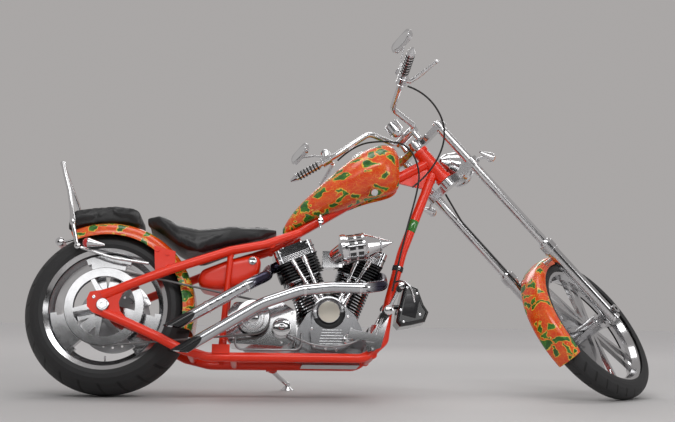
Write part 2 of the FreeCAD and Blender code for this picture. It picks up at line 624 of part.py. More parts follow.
def build_seats():
    rider = Part.makeLoft([seat_ring(*row) for row in SEAT], True, True)
    top = [(-166, 500), (-172, 700), (-150, 722), (-74, 738), (7, 746), (90, 736), (116, 722),
           (122, 500)]
    pad = flat(top, -108, 108)
    pad = pad.cut(rod((0, -200, REAR_R), (0, 200, REAR_R), 350.0))
    return {"rider_seat": rider, "passenger_seat": pad}


def build_rear_bodywork():
    c = REAR_AXLE
    fender = [arc_band(c, 346, 342, -143, 143, 28, 117), arc_band(c, 346, 342, -130, 130, -14, 28.5)]
    fender += both(arc_band(c, 346, 290, -143, -139, 30, 117))
    fender = fuse(fender)
    side = tube([(-118, -153, 560), (-138, -153, 640), (-156, -144, 724), (-178, -104, 806),
                 (-210, -52, 890), (-232, -7, 952)], 8.0, [200, 200, 120, 120])
    bar = both(side) + [ball((-232, 0, 952), 12.0)]
    bar += both(rod((-118, -157, 566), (-118, -143.2, 566), 12.0))
    bar = fuse(bar)
    struts = both(tube([(-106, -152, 560), (20, -153, 520), (160, -154, 500)], 6.0, [300]))
    bar = Part.makeCompound([bar] + [q.cut(bar) for q in struts])
    lamps = [rod((-214, -28, 612), (-214, 28, 612), 16.0), rod((-154, 0, 631), (-206, 0, 615), 5.0)]
    lamps = [fuse(lamps)]
    for s in (-1, 1):
        y = 178.0 * s
        lamps.append(fuse([ball((-72, y, 574), 19.0), cone((-72, y, 574), (-10, y, 566), 18.9, 4.0),
                           rod((-66, 157.2 * s, 574), (-66, y, 574), 6.0),
                           rod((-66, 143.2 * s, 574), (-66, 158 * s, 574), 5.0)]))
    y0, y1 = 124.0, 157.0
    clip = arc_band(c, 160, 104, y0, y1, 22, 58).cut(arc_band(c, 151.5, 90, 131.8, 147.2, 10, 70))
    clip = fuse([clip, arc_band(c, 112, 15, 151.5, 157.0, 30, 50)])
    clip = clip.cut(rod((0, 100, REAR_R), (0, 200, REAR_R), 19.3))
    return {"rear_fender": fender, "sissy_bar": bar, "rear_lamps": Part.makeCompound(lamps),
            "rear_caliper": clip}


def build_foot_controls():
    pieces = [flat([(1020, 160), (1072, 178), (1106, 300), (1098, 322), (1074, 320), (1056, 262),
                    (1010, 196)], -176, -168),
              rod((1040, -172, 176), (1040, -150, 176), 12.0),
              rod((1088, -290, 306), (1088, -172, 306), 15.0),
              rod((1088, -300, 306), (1088, -290, 306), 18.0),
              rod((1096, -190, 316), (1142, -204, 404), 7.0),
              rod((1142, -278, 404), (1142, -196, 404), 11.0)]
    right = fuse(pieces + [flat([(938, 212), (1046, 198), (1056, 226), (952, 250)], -190, -170),
                           rod((1046, -180, 214), (1082, -180, 300), 5.0)])
    feet = [right, mirrored(fuse(pieces))]
    pod = flat([(1192, 462), (1245, 440), (1268, 373), (1288, 342), (1272, 302), (1215, 288),
                (1168, 280), (1152, 300), (1162, 350), (1180, 420)], -60, 60)
    pod = pod.makeFillet(14.0, [e for e in pod.Edges if abs(e.tangentAt(e.FirstParameter).y) < 0.1])
    pod = fuse([pod, rod((1150, 0, 370), (1200, 0, 370), 10.0)]).cut(tube(DOWN_TUBE, DOWN_TUBE_R, [200, 300]))
    return {"foot_controls": Part.makeCompound(feet), "front_pod": max(pod.Solids, key=lambda s: s.Volume)}


# ---------------------------------------------------------------- fork and bars
def leg(s, y, fwd=0.0):
    """Point beside a fork tube: s along it from the lower clamp, y out, fwd ahead of it."""
    return CLAMP + TUBE_DIR * s + LEFT * y + TUBE_FWD * fwd


BAR = [(1222, 0, 1120), (1214, 62, 1120), (1075, 80, 1142), (985, 212, 1087), (890, 385, 1060)]
BAR_R = 12.7


def bar_point(t):
    """Along the straight outer run of the left bar, 0 at the bend and 1 at the end."""
    return vec(BAR[3]) + (vec(BAR[4]) - vec(BAR[3])) * t


def clamp_plate(centre, tube_fwd, thick):
    """Fork clamp: a bar across both tubes with a boss round the steering stem."""
    bar = slab(centre + STEER_FWD * tube_fwd, STEER_FWD, LEFT, (66, 300), thick, 26.0)
    half = STEER_AXIS * (thick / 2)
    neck = slab(centre + STEER_FWD * (tube_fwd / 2), STEER_FWD, LEFT, (tube_fwd + 10, 60), thick, 8.0)
    return fuse([bar, neck, rod(centre - half, centre + half, 30.0)])


def build_fork():
    tubes = [rod(leg(-232, s * FORK_HALF), leg(SLIDER_START, s * FORK_HALF), FORK_TUBE_R)
             for s in (-1, 1)]
    lower = clamp_plate(HEAD, 65.0, 34.0)
    upper = clamp_plate(HEAD + STEER_AXIS * UPPER_CLAMP, 56.0, 26.0)
    upper_at = HEAD + STEER_AXIS * UPPER_CLAMP
    stem = rod(HEAD, upper_at + STEER_AXIS * 16, STEM_R)
    trees = fuse([lower, upper, stem, rod(upper_at, upper_at + STEER_AXIS * 26, 22.0)])
    for s in (-1, 1):
        trees = trees.cut(rod(leg(-300, s * FORK_HALF), leg(300, s * FORK_HALF), FORK_TUBE_R))
    sliders = []
    for s in (-1, 1):
        y = s * FORK_HALF
        sliders += [rod(leg(SLIDER_START, y), leg(FORK_LENGTH + 34, y), SLIDER_R),
                    rod(leg(SLIDER_START, y), leg(SLIDER_START + 44, y), SLIDER_R + 5)]
    for a, b, r in ((-152.0, 152.0, AXLE_R - 0.02), (-158.0, -146.0, 20.0), (146.0, 158.0, 20.0),
                    (-93.0, -64.0, 18.0), (74.0, 93.0, 18.0)):
        sliders.append(rod(FRONT_AXLE + LEFT * a, FRONT_AXLE + LEFT * b, r))
    sliders = fuse(sliders).cut(rod(FRONT_AXLE - LEFT * 200, FRONT_AXLE + LEFT * 200, AXLE_BORE_R))
    half = tube(BAR, BAR_R, [30, 45, 60])
    up = upper_at + STEER_AXIS * 13
    risers = [rod(up + LEFT * y - STEER_FWD * 8, V(1216, y, 1120), 14.0) for y in (-42, 42)]
    bar = fuse(both(half) + risers + [rod((1219, -58, 1120), (1219, 58, 1120), 18.0)])
    d = (vec(BAR[4]) - vec(BAR[3])).normalize()
    grips, controls, mirrors = [], [], []
    for s in (-1, 1):
        def at(p):
            return V(p.x, p.y * s, p.z)
        g0, g1 = bar_point(0.42), bar_point(1.0)
        sleeve = fuse([rod(at(g0), at(g1), 17.0), cone(at(g1), at(g1 + d * 30), 17.0, 5.0)])
        grips.append(sleeve.cut(rod(at(g0 - d * 20), at(g1), BAR_R)))
        c0, c1 = bar_point(0.14), bar_point(0.36)
        perch = [rod(at(c0), at(c1), 21.0)]
        m = (c0 + c1) * 0.5
        perch += [rod(at(m + V(4, 0, 12)), at(m + V(8, 0, 52)), 19.0),
                  rod(at(m), at(m + V(40, 8, 6)), 10.0),
                  rod(at(m + V(40, 8, 6)), at(V(1036, 392, 1092)), 6.5),
                  ball(at(V(1036, 392, 1092)), 9.0)]
        perch = fuse(perch).cut(rod(at(bar_point(-0.1)), at(g1), BAR_R))
        controls.append(perch)
        root = m + V(-14, 0, 17)
        stem_pts = [at(root + V(2, 0, -2)), at(root + V(-8, 40, 40)), at(V(914, 352, 1166))]
        stem_m = tube(stem_pts, 4.5, [30])
        head = slab(V(910, 352 * s, 1188), LEFT, V(0, 0, 1), (112, 54), 14, 20.0)
        mirrors.append(fuse([stem_m, head]).cut(perch))
    cup = V(1150, 0, 1136)
    tilt = V(-0.55, 0, 0.83).normalize()
    speedo = fuse([rod(cup - tilt * 22, cup + tilt * 20, 33.0), ball(cup - tilt * 22, 26.0),
                   rod(cup, (1216, 0, 1122), 8.0)]).cut(rod((1219, -58, 1120), (1219, 58, 1120), 18.0))
    return {"triple_trees": trees, "fork_tubes": Part.makeCompound(tubes),
            "fork_sliders": sliders, "handlebar": bar, "grips": Part.makeCompound(grips),
            "hand_controls": Part.makeCompound(controls), "mirrors": Part.makeCompound(mirrors),
            "speedometer": max(speedo.Solids, key=lambda q: q.Volume)}


def build_fork_fittings():
    lamp = HEAD + STEER_AXIS * 50 + STEER_FWD * 158
    shell = spun([(0, -92), (14, -88), (44, -60), (64, -22), (68, 10), (68, 44), (72, 48), (72, 58),
                  (66, 60), (40, 67), (0, 70)], lamp, V(1, 0, 0))
    stay = rod(HEAD + STEER_FWD * 92, lamp - V(10, 0, 30), 10.0)
    tree = clamp_plate(HEAD, 65.0, 34.0)
    lamps = [fuse([shell, stay]).cut(tree)]
    for s in (-1, 1):
        p = V(1468, 192 * s, 940)
        post = rod(HEAD + STEER_FWD * 66 + LEFT * (140 * s), p, 6.0)
        bullet = fuse([ball(p + V(14, 0, 0), 20.0), cone(p + V(14, 0, 0), p - V(48, 0, 0), 19.9, 5.0)])
        lamps.append(fuse([bullet, post]).cut(tree))
    c = FRONT_AXLE
    r_in = FRONT_R + 14
    fender = [arc_band(c, r_in + 4, r_in, -56, 56, 97, 222)]
    fender += both(arc_band(c, r_in + 4, r_in - 46, -56, -52.5, 99, 220))
    for s in (-1, 1):
        spot = leg(FORK_LENGTH - 327, s * 55.0)
        fender.append(rod(spot, spot + LEFT * (s * 50), 9.0))
    fender = fuse(fender)
    for s in (-1, 1):
        fender = fender.cut(rod(leg(300, s * FORK_HALF), leg(FORK_LENGTH, s * FORK_HALF), SLIDER_R))
    fender = max(fender.Solids, key=lambda q: q.Volume)
    clip = arc_band(c, 160, 104, 49, 90, 138, 176).cut(arc_band(c, 151.5, 90, 56.8, 72.2, 120, 190))
    arm = rod(c + V(-96, 86, 78), c + V(-96, 108, 86), 10.0)
    clip = fuse([clip, arm]).cut(rod(leg(300, FORK_HALF), leg(FORK_LENGTH, FORK_HALF), SLIDER_R))
    clip = max(clip.Solids, key=lambda q: q.Volume)
    hose_pts = [leg(22, 60, -26), leg(160, 84, -42), leg(660, 84, -42), c + V(-132, 74, 96)]
    hose = tube(hose_pts, 4.0, [90, 60])
    print("cable brake_hose diameter 8.0 bend radii", [90, 60])
    return {"front_lamps": Part.makeCompound(lamps), "front_fender": fender,
            "front_caliper": clip, "brake_hose": hose}


# cables: outside radius, points, bend radii. The first two cross from the bars to the frame.
def cable_table():
    m = bar_point(0.12) + V(36, 4, 4)
    left = steered(m)
    right = steered(V(m.x, -m.y, m.z))
    return [
        ("clutch_cable", 4.0, [left, left + V(72, -10, 72), V(1120, -20, 1092), V(1215, -75, 1056),
                               V(1262, -62, 960), V(1258, -50, 870), V(1190, -32, 640),
                               V(1142, -32, 430)], [50, 60, 50, 50, 60, 200]),
        ("throttle_cable", 4.0, [right, right + V(90, 20, -20), V(1372, -165, 1090),
                                 V(1312, -92, 930), V(1226, -84, 864)], [50, 60, 50]),
        ("oil_line", 4.0, [V(765, -84.5, 240), V(765, -124, 240), V(765, -124, 172),
                           V(505, -124, 172), V(505, -124, 236), V(505, -96.5, 236)],
         [24, 30, 30, 24]),
    ]


def build_cables():
    out = {}
    for name, r, points, bends in cable_table():
        print("cable", name, "diameter", 2 * r, "bend radii", bends)
        out[name] = tube(points, r, bends)
    return out


# ---------------------------------------------------------------- assembly
FORK_NODES = ("triple_trees", "fork_tubes", "fork_sliders", "handlebar", "grips", "hand_controls",
              "mirrors", "speedometer", "front_lamps", "front_fender", "front_caliper",
              "brake_hose", "front_tyre", "front_rim", "front_disc")


# a piece that stops against another is trimmed to it
TRIMS = (("front_cylinder", "engine_block"), ("rear_cylinder", "engine_block"),
         ("pushrod_tubes", "engine_block"), ("pushrod_tubes", "front_cylinder"),
         ("pushrod_tubes", "rear_cylinder"), ("front_exhaust", "front_cylinder"),
         ("rear_exhaust", "rear_cylinder"), ("foot_controls", "frame"),
         ("handlebar", "triple_trees"), ("air_cleaner", "rear_cylinder"),
         ("air_cleaner", "front_cylinder"), ("rear_lamps", "rear_fender"))


def build_all():
    shapes = {}
    for make in (build_frame, build_engine, build_belt, build_exhausts, build_tanks, build_seats,
                 build_rear_bodywork, build_foot_controls, build_fork, build_fork_fittings,
                 build_cables, build_stand, build_rear_wheel, build_front_wheel):
        shapes.update(make())
    for name, cutter in TRIMS:
        left = shapes[name].cut(shapes[cutter])
        keep = [q for q in left.Solids if q.Volume > 400.0]
        shapes[name] = keep[0] if len(keep) == 1 else Part.makeCompound(keep)
    turn = FreeCAD.Placement(HEAD - steer_rotation().multVec(HEAD), steer_rotation())
    rot, ground = stance()
    lean = FreeCAD.Placement(V(0, 0, -ground), rot)
    for name, shape in shapes.items():
        if name in FORK_NODES:
            shape.Placement = turn.multiply(shape.Placement)
        shape.Placement = lean.multiply(shape.Placement)
    box_all = FreeCAD.BoundBox()
    for shape in shapes.values():
        box_all.add(shape.optimalBoundingBox(False, False))
    shift = V(-box_all.Center.x, -box_all.Center.y, -box_all.ZMin)
    for shape in shapes.values():
        shape.Placement = FreeCAD.Placement(shift, FreeCAD.Rotation()).multiply(shape.Placement)
    return shapes, FreeCAD.Placement(shift, FreeCAD.Rotation()).multiply(lean), turn


def main():
    os.makedirs("parts", exist_ok=True)
    shapes, _, _ = build_all()
    for name, shape in shapes.items():
        shape.exportStep(os.path.join("parts", name + ".step"))
        print("%-16s solids %d valid %s volume %.3f dm3" % (
            name, len(shape.Solids), shape.isValid(), shape.Volume / 1e6))
    print("nodes", len(shapes))


if __name__ == "__main__":
    main()
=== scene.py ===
import bpy
import bmesh
import json
import logging
import math
from dataclasses import dataclass, field
from enum import Enum
from typing import Callable, Iterable, Sequence

from mathutils import Matrix, Vector


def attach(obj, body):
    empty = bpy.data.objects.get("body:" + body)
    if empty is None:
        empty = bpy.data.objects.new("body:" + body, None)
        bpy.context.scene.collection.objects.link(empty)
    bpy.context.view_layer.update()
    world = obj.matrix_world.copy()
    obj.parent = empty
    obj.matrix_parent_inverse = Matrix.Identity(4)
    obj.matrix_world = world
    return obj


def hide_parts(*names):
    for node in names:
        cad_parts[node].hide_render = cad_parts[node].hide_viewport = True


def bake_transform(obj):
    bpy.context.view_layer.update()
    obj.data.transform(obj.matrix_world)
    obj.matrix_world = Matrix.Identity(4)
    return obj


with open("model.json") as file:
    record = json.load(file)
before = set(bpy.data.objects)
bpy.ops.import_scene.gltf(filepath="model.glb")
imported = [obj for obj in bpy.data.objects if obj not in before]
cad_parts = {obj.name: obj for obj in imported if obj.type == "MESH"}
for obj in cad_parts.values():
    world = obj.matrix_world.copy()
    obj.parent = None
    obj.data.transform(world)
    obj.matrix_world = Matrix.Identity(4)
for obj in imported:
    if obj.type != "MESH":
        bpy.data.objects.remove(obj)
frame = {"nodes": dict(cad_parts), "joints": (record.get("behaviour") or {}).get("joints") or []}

LOG = logging.getLogger("chopper")
RAKE = math.radians(40.0)
MM = 0.001
RIGHT, LEFT = Vector((0.0, -1.0, 0.0)), Vector((0.0, 1.0, 0.0))
AHEAD, UP = Vector((1.0, 0.0, 0.0)), Vector((0.0, 0.0, 1.0))
CRANK, VEE_DEG = Vector((883.0, 0.0, 222.0)), 22.5
BAR_ROOT, BAR_TIP = Vector((985.0, 212.0, 1087.0)), Vector((890.0, 385.0, 1060.0))
SMOOTH_ANGLE, LINE_ANGLE = math.radians(35.0), math.radians(50.0)
MERGE = 0.0002
ORANGE_TWO = ((0.74, 0.050, 0.003), (0.82, 0.10, 0.005))
GREEN_TWO = ((0.012, 0.11, 0.008), (0.05, 0.24, 0.02))
ORANGE_VEIN, GREEN_VEIN, OUTLINE = (0.85, 0.34, 0.04), (0.005, 0.03, 0.004), (0.82, 0.50, 0.05)
# the groove colour is painted shade: the tyre's grooves and rings are darkened in colour
# the mouth colour is painted shade: a pipe's open end is painted near-black and not metal
TYRE_TONE, GROOVE_PAINTED_SHADE, MOUTH_PAINTED_SHADE = (0.022, 0.022, 0.023), (0.004, 0.004, 0.004), (0.012, 0.012, 0.013)
BACKDROP = (0.40, 0.385, 0.38)
SKY_LOW, SKY_HIGH = (0.06, 0.06, 0.06), (0.47, 0.47, 0.48)


class Body(Enum):
    """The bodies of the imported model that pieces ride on."""

    FRAME = "frame"
    FORK = "fork"
    FRONT_WHEEL = "front_wheel"
    REAR_WHEEL = "rear_wheel"


# ------------------------------------------------------------------ places
@dataclass
class BikeSpace:
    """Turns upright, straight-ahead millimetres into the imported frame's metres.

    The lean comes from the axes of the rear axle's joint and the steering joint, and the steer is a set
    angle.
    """

    rear_radius: float = 328.0
    head: Vector = field(default_factory=lambda: Vector((1395.0, 0.0, 911.0)))
    steer_deg: float = 45.0

    def __post_init__(self) -> None:
        """Builds the two matrices."""
        joints = {j["name"]: j for j in frame["joints"]}
        left = Vector(joints["rear_wheel_spin"]["axis"]).normalized()
        up_axis = -Vector(joints["steering"]["axis"]).normalized()
        forward_axis = left.cross(up_axis).normalized()
        x = forward_axis * math.cos(RAKE) - up_axis * math.sin(RAKE)
        z = forward_axis * math.sin(RAKE) + up_axis * math.cos(RAKE)
        turn = Matrix((x, left, z)).transposed().to_4x4()
        axle = Vector(joints["rear_wheel_spin"]["pos_m"])
        scale = Matrix.Diagonal((MM, MM, MM, 1.0))
        home = Matrix.Translation(Vector((0.0, 0.0, -self.rear_radius)))
        self.main: Matrix = Matrix.Translation(axle) @ turn @ scale @ home
        spin = Matrix.Rotation(math.radians(self.steer_deg), 4,
                               Vector((-math.sin(RAKE), 0.0, math.cos(RAKE))))
        self.steer: Matrix = (self.main @ Matrix.Translation(self.head) @ spin
                              @ Matrix.Translation(-self.head))

    def matrix(self, body: Body) -> Matrix:
        """The matrix for pieces of one body."""
        turned = body in (Body.FORK, Body.FRONT_WHEEL)
        return self.steer if turned else self.main


SPACE = BikeSpace()
TREE_RAKE = math.radians(42.3)
STEER_UP = Vector((-math.sin(RAKE), 0.0, math.cos(RAKE)))
STEER_FWD = Vector((math.cos(RAKE), 0.0, math.sin(RAKE)))
TUBE_DIR = Vector((math.sin(TREE_RAKE), 0.0, -math.cos(TREE_RAKE)))
CLAMP = SPACE.head + STEER_FWD * 65.0
FRONT_AXLE = CLAMP + TUBE_DIR * 856.0
REAR_AXLE = Vector((0.0, 0.0, 328.0))


def leaned(degrees: float) -> tuple:
    """Upward and forward directions of a cylinder that leans forward.

    Args:
        degrees: How far it leans.

    Returns:
        Its upward and its forward direction.
    """
    a = math.radians(degrees)
    return Vector((math.sin(a), 0.0, math.cos(a))), Vector((math.cos(a), 0.0, -math.sin(a)))


# ------------------------------------------------------------------ node trees
@dataclass
class Tree:
    """A thin helper round a node tree."""

    tree: bpy.types.NodeTree

    def node(self, kind: str, **values: object) -> bpy.types.Node:
        """Adds a node.

        Args:
            kind: The node's type name.
            values: Attributes, or sockets by name where no attribute fits.

        Returns:
            The new node.
        """
        made = self.tree.nodes.new(kind)
        for key, value in values.items():
            if hasattr(made, key):
                setattr(made, key, value)
            else:
                made.inputs[key.replace("_", " ")].default_value = value
        return made

    def link(self, a: bpy.types.NodeSocket, b: bpy.types.NodeSocket) -> None:
        """Joins two sockets."""
        self.tree.links.new(a, b)

    def fill(self, node: bpy.types.Node, **values: object) -> None:
        """Sets a node's input values by name, with an underscore for each space."""
        for key, value in values.items():
            node.inputs[key.replace("_", " ")].default_value = value

    def math(self, op: str, a: object, b: object = 0.0) -> bpy.types.NodeSocket:
        """A Math node fed by sockets or numbers; returns its output.

        Args:
            op: The operation.
            a: A socket or a number.
            b: A socket or a number, if the operation takes two.

        Returns:
            The value.
        """
        made = self.tree.nodes.new("ShaderNodeMath")
        made.operation = op
        for i, value in enumerate((a, b)):
            if isinstance(value, bpy.types.NodeSocket):
                self.link(value, made.inputs[i])
            else:
                made.inputs[i].default_value = float(value)
        return made.outputs[0]

    def vector(self, op: str, a: bpy.types.NodeSocket, b: object = None) -> bpy.types.NodeSocket:
        """A Vector Math node.

        Args:
            op: The operation.
            a: The first vector's socket.
            b: A socket or a plain vector, if the operation takes one.

        Returns:
            Its value for a length or a dot product, else its vector.
        """
        made = self.node("ShaderNodeVectorMath", operation=op)
        self.link(a, made.inputs[0])
        if isinstance(b, bpy.types.NodeSocket):
            self.link(b, made.inputs[1])
        elif b is not None:
            made.inputs[1].default_value = b
        return made.outputs["Value" if op in ("LENGTH", "DOT_PRODUCT") else 0]

    def scaled(self, vector: object, factor: object) -> bpy.types.NodeSocket:
        """A vector times a number.

        Args:
            vector: A socket or a plain vector.
            factor: A socket or a number.

        Returns:
            The scaled vector's socket.
        """
        made = self.node("ShaderNodeVectorMath", operation="SCALE")
        for value, socket in ((vector, made.inputs[0]), (factor, made.inputs["Scale"])):
            if isinstance(value, bpy.types.NodeSocket):
                self.link(value, socket)
            else:
                socket.default_value = value
        return made.outputs[0]

    def ramp(self, value: bpy.types.NodeSocket, low: float, high: float) -> bpy.types.NodeSocket:
        """A smooth step from low to high; returns its output.

        Args:
            value: The value.
            low: Where the step begins.
            high: Where it ends.

        Returns:
            A socket from 0 to 1.
        """
        made = self.tree.nodes.new("ShaderNodeMapRange")
        made.interpolation_type = "SMOOTHSTEP"
        self.link(value, made.inputs["Value"])
        made.inputs["From Min"].default_value = low
        made.inputs["From Max"].default_value = high
        return made.outputs["Result"]

    def mix(self, mask: bpy.types.NodeSocket, a: object, b: object) -> bpy.types.NodeSocket:
        """Mixes two colours by a mask; returns its output.

        Args:
            mask: 0 for the first colour, 1 for the second.
            a: A socket or a colour.
            b: A socket or a colour.

        Returns:
            The colour.
        """
        made = self.tree.nodes.new("ShaderNodeMix")
        made.data_type = "RGBA"
        self.link(mask, made.inputs[0])
        for slot, value in ((6, a), (7, b)):
            if isinstance(value, bpy.types.NodeSocket):
                self.link(value, made.inputs[slot])
            else:
                made.inputs[slot].default_value = (*value, 1.0)
        return made.outputs[2]


@dataclass
class Groups:
    """Shared shader groups, each built once."""

    made: dict = field(default_factory=dict)
    drawn_scale: tuple = (0.62, 1.0, 1.15)
    drawn_turn: tuple = (0.0, 0.45, 0.0)
    warp: float = 0.07
    green_edge: tuple = (0.11, 0.125)
    line_edge: tuple = (0.055, 0.065)
    vein_edge: tuple = (0.010, 0.03)
    groove_sweep: float = 3.2
    groove_edge: tuple = (0.86, 0.93)

    def _new(self, name: str, ins: Sequence[tuple], outs: Sequence[str]) -> Tree:
        """Starts a group with named sockets and returns its tree.

        Args:
            name: The group's name.
            ins: Input names, types and values.
            outs: Output names.

        Returns:
            Its tree.
        """
        group = bpy.data.node_groups.new(name, "ShaderNodeTree")
        for label, kind, value in ins:
            sock = group.interface.new_socket(label, in_out="INPUT", socket_type=kind)
            if value is not None:
                sock.default_value = value
        for label in outs:
            kind = "NodeSocketColor" if label == "Color" else "NodeSocketFloat"
            group.interface.new_socket(label, in_out="OUTPUT", socket_type=kind)
        self.made[name] = group
        return Tree(group)

    def grain(self) -> bpy.types.NodeTree:
        """Fine noise that varies roughness and height.

        Returns:
            The group, with Roughness and Height.
        """
        if "Grain" in self.made:
            return self.made["Grain"]
        t = self._new("Grain", [("Scale", "NodeSocketFloat", 60.0), ("Base", "NodeSocketFloat", 0.3),
                                ("Spread", "NodeSocketFloat", 0.1)], ["Roughness", "Height"])
        gi, go = t.node("NodeGroupInput"), t.node("NodeGroupOutput")
        pos = t.node("ShaderNodeTexCoord")
        noise = t.node("ShaderNodeTexNoise", Detail=4.0)
        t.link(pos.outputs["Object"], noise.inputs["Vector"])
        t.link(gi.outputs["Scale"], noise.inputs["Scale"])
        wave = t.math("MULTIPLY", t.math("SUBTRACT", noise.outputs[0], 0.5), gi.outputs["Spread"])
        t.link(t.math("ADD", gi.outputs["Base"], wave), go.inputs["Roughness"])
        t.link(noise.outputs[0], go.inputs["Height"])
        return self.made["Grain"]

    def artwork(self) -> bpy.types.NodeTree:
        """Orange ground with pale veins, and dark-veined green shards in yellow outlines.

        Returns:
            The group, with Color.
        """
        if "Artwork" in self.made:
            return self.made["Artwork"]
        t = self._new("Artwork", [("Scale", "NodeSocketFloat", 9.0), ("Cover", "NodeSocketFloat", 0.5)],
                      ["Color"])
        gi, go = t.node("NodeGroupInput"), t.node("NodeGroupOutput")
        pos = t.node("ShaderNodeTexCoord")
        warp = t.node("ShaderNodeTexNoise", Scale=16.0, Detail=3.0)
        t.link(pos.outputs["Object"], warp.inputs["Vector"])
        drawn = t.node("ShaderNodeMapping")
        t.fill(drawn, Scale=self.drawn_scale, Rotation=self.drawn_turn)
        t.link(pos.outputs["Object"], drawn.inputs["Vector"])
        moved = t.vector("ADD", drawn.outputs[0], t.scaled(warp.outputs["Color"], self.warp))
        cells = t.node("ShaderNodeTexVoronoi", feature="F1")
        edges = t.node("ShaderNodeTexVoronoi", feature="DISTANCE_TO_EDGE")
        veins = t.node("ShaderNodeTexVoronoi", feature="DISTANCE_TO_EDGE")
        for n in (cells, edges):
            t.link(moved, n.inputs["Vector"])
            t.link(gi.outputs["Scale"], n.inputs["Scale"])
        t.link(moved, veins.inputs["Vector"])
        t.link(t.math("MULTIPLY", gi.outputs["Scale"], 2.6), veins.inputs["Scale"])
        tone = t.node("ShaderNodeSeparateColor")
        t.link(cells.outputs["Color"], tone.inputs[0])
        chosen = t.math("LESS_THAN", tone.outputs[0], gi.outputs["Cover"])
        d = edges.outputs["Distance"]
        inner = t.math("MULTIPLY", chosen, t.ramp(d, *self.green_edge))
        outer = t.math("MULTIPLY", chosen, t.ramp(d, *self.line_edge))
        vein = t.math("SUBTRACT", 1.0, t.ramp(veins.outputs["Distance"], *self.vein_edge))
        shade = t.node("ShaderNodeTexNoise", Scale=30.0)
        t.link(pos.outputs["Object"], shade.inputs["Vector"])
        ground = t.mix(t.ramp(shade.outputs[0], 0.35, 0.7), *ORANGE_TWO)
        ground = t.mix(t.math("MULTIPLY", vein, 0.7), ground, ORANGE_VEIN)
        green = t.mix(t.ramp(shade.outputs[0], 0.4, 0.62), *GREEN_TWO)
        green = t.mix(t.math("MULTIPLY", vein, 0.8), green, GREEN_VEIN)
        ringed = t.mix(outer, ground, OUTLINE)
        t.link(t.mix(inner, ringed, green), go.inputs["Color"])
        return self.made["Artwork"]

    def tread(self) -> bpy.types.NodeTree:
        """Grooves round a tyre from its angle and offset along the axle, darkened in colour as painted shade.

        Returns:
            The group, with Color and Height.
        """
        if "Tread" in self.made:
            return self.made["Tread"]
        t = self._new("Tread", [("Centre", "NodeSocketVector", None), ("Axle", "NodeSocketVector", None),
                                ("Ahead", "NodeSocketVector", None), ("Half Width", "NodeSocketFloat", 0.1),
                                ("Count", "NodeSocketFloat", 22.0)], ["Color", "Height"])
        gi, go = t.node("NodeGroupInput"), t.node("NodeGroupOutput")
        pos = t.node("ShaderNodeTexCoord")
        rel = t.vector("SUBTRACT", pos.outputs["Object"], gi.outputs["Centre"])
        up = t.vector("CROSS_PRODUCT", gi.outputs["Ahead"], gi.outputs["Axle"])
        y, x, z = (t.vector("DOT_PRODUCT", rel, way) for way in (gi.outputs["Axle"], gi.outputs["Ahead"], up))
        across = t.math("DIVIDE", t.math("ABSOLUTE", y), gi.outputs["Half Width"])
        turn = t.math("MULTIPLY", t.math("ARCTAN2", z, x), gi.outputs["Count"])
        sweep = t.math("ADD", turn, t.math("MULTIPLY", across, self.groove_sweep))
        groove = t.ramp(t.math("SINE", sweep), *self.groove_edge)
        zone = t.math("MULTIPLY", t.ramp(across, 0.16, 0.22),
                      t.math("SUBTRACT", 1.0, t.ramp(across, 0.80, 0.86)))
        offset = t.math("ABSOLUTE", t.math("SUBTRACT", across, 0.10))
        rings = t.math("SUBTRACT", 1.0, t.ramp(offset, 0.015, 0.028))
        cut = t.math("MAXIMUM", t.math("MULTIPLY", groove, zone), rings)
        # the grooves and rings take a darker colour: painted shade in the recesses
        t.link(t.mix(cut, TYRE_TONE, GROOVE_PAINTED_SHADE), go.inputs["Color"])
        t.link(t.math("SUBTRACT", 1.0, cut), go.inputs["Height"])
        return self.made["Tread"]


GROUPS = Groups()


# ------------------------------------------------------------------ finishes
@dataclass(frozen=True)
class Finish:
    """A surface: colour, metal, roughness and what varies over it."""

    name: str
    color: tuple
    metallic: float = 0.0
    roughness: float = 0.3
    spread: float = 0.08
    grain: float = 60.0
    bump: float = 0.0
    coat: float = 0.0
    emission: float = 0.0
    transmission: float = 0.0

    def build(self) -> bpy.types.Material:
        """The material, made once.

        Returns:
            The material.
        """
        found = bpy.data.materials.get(self.name)
        if found:
            return found
        mat = bpy.data.materials.new(self.name)
        mat.use_nodes = True
        t = Tree(mat.node_tree)
        shader = mat.node_tree.nodes["Principled BSDF"]
        t.fill(shader, Base_Color=(*self.color, 1.0), Metallic=self.metallic, Coat_Weight=self.coat,
               Coat_Roughness=0.04)
        if self.transmission:
            t.fill(shader, Transmission_Weight=self.transmission)
        if self.emission:
            t.fill(shader, Emission_Color=(*self.color, 1.0), Emission_Strength=self.emission)
        grain = t.node("ShaderNodeGroup")
        grain.node_tree = GROUPS.grain()
        t.fill(grain, Scale=self.grain, Base=self.roughness, Spread=self.spread)
        t.link(grain.outputs["Roughness"], shader.inputs["Roughness"])
        if self.bump:
            bump = t.node("ShaderNodeBump", Distance=0.001, Strength=self.bump)
            t.link(grain.outputs["Height"], bump.inputs["Height"])
            t.link(bump.outputs[0], shader.inputs["Normal"])
        self.extend(t, shader)
        return mat

    def extend(self, t: Tree, shader: bpy.types.Node) -> None:
        """Hook for a finish with a pattern of its own."""


@dataclass(frozen=True)
class ArtFinish(Finish):
    """Painted artwork under clear coat."""

    scale: float = 25.0
    cover: float = 0.56

    def extend(self, t: Tree, shader: bpy.types.Node) -> None:
        """Feeds the artwork to the colour.

        Args:
            t: The material's tree.
            shader: Its surface shader.
        """
        art = t.node("ShaderNodeGroup")
        art.node_tree = GROUPS.artwork()
        t.fill(art, Scale=self.scale, Cover=self.cover)
        t.link(art.outputs["Color"], shader.inputs["Base Color"])


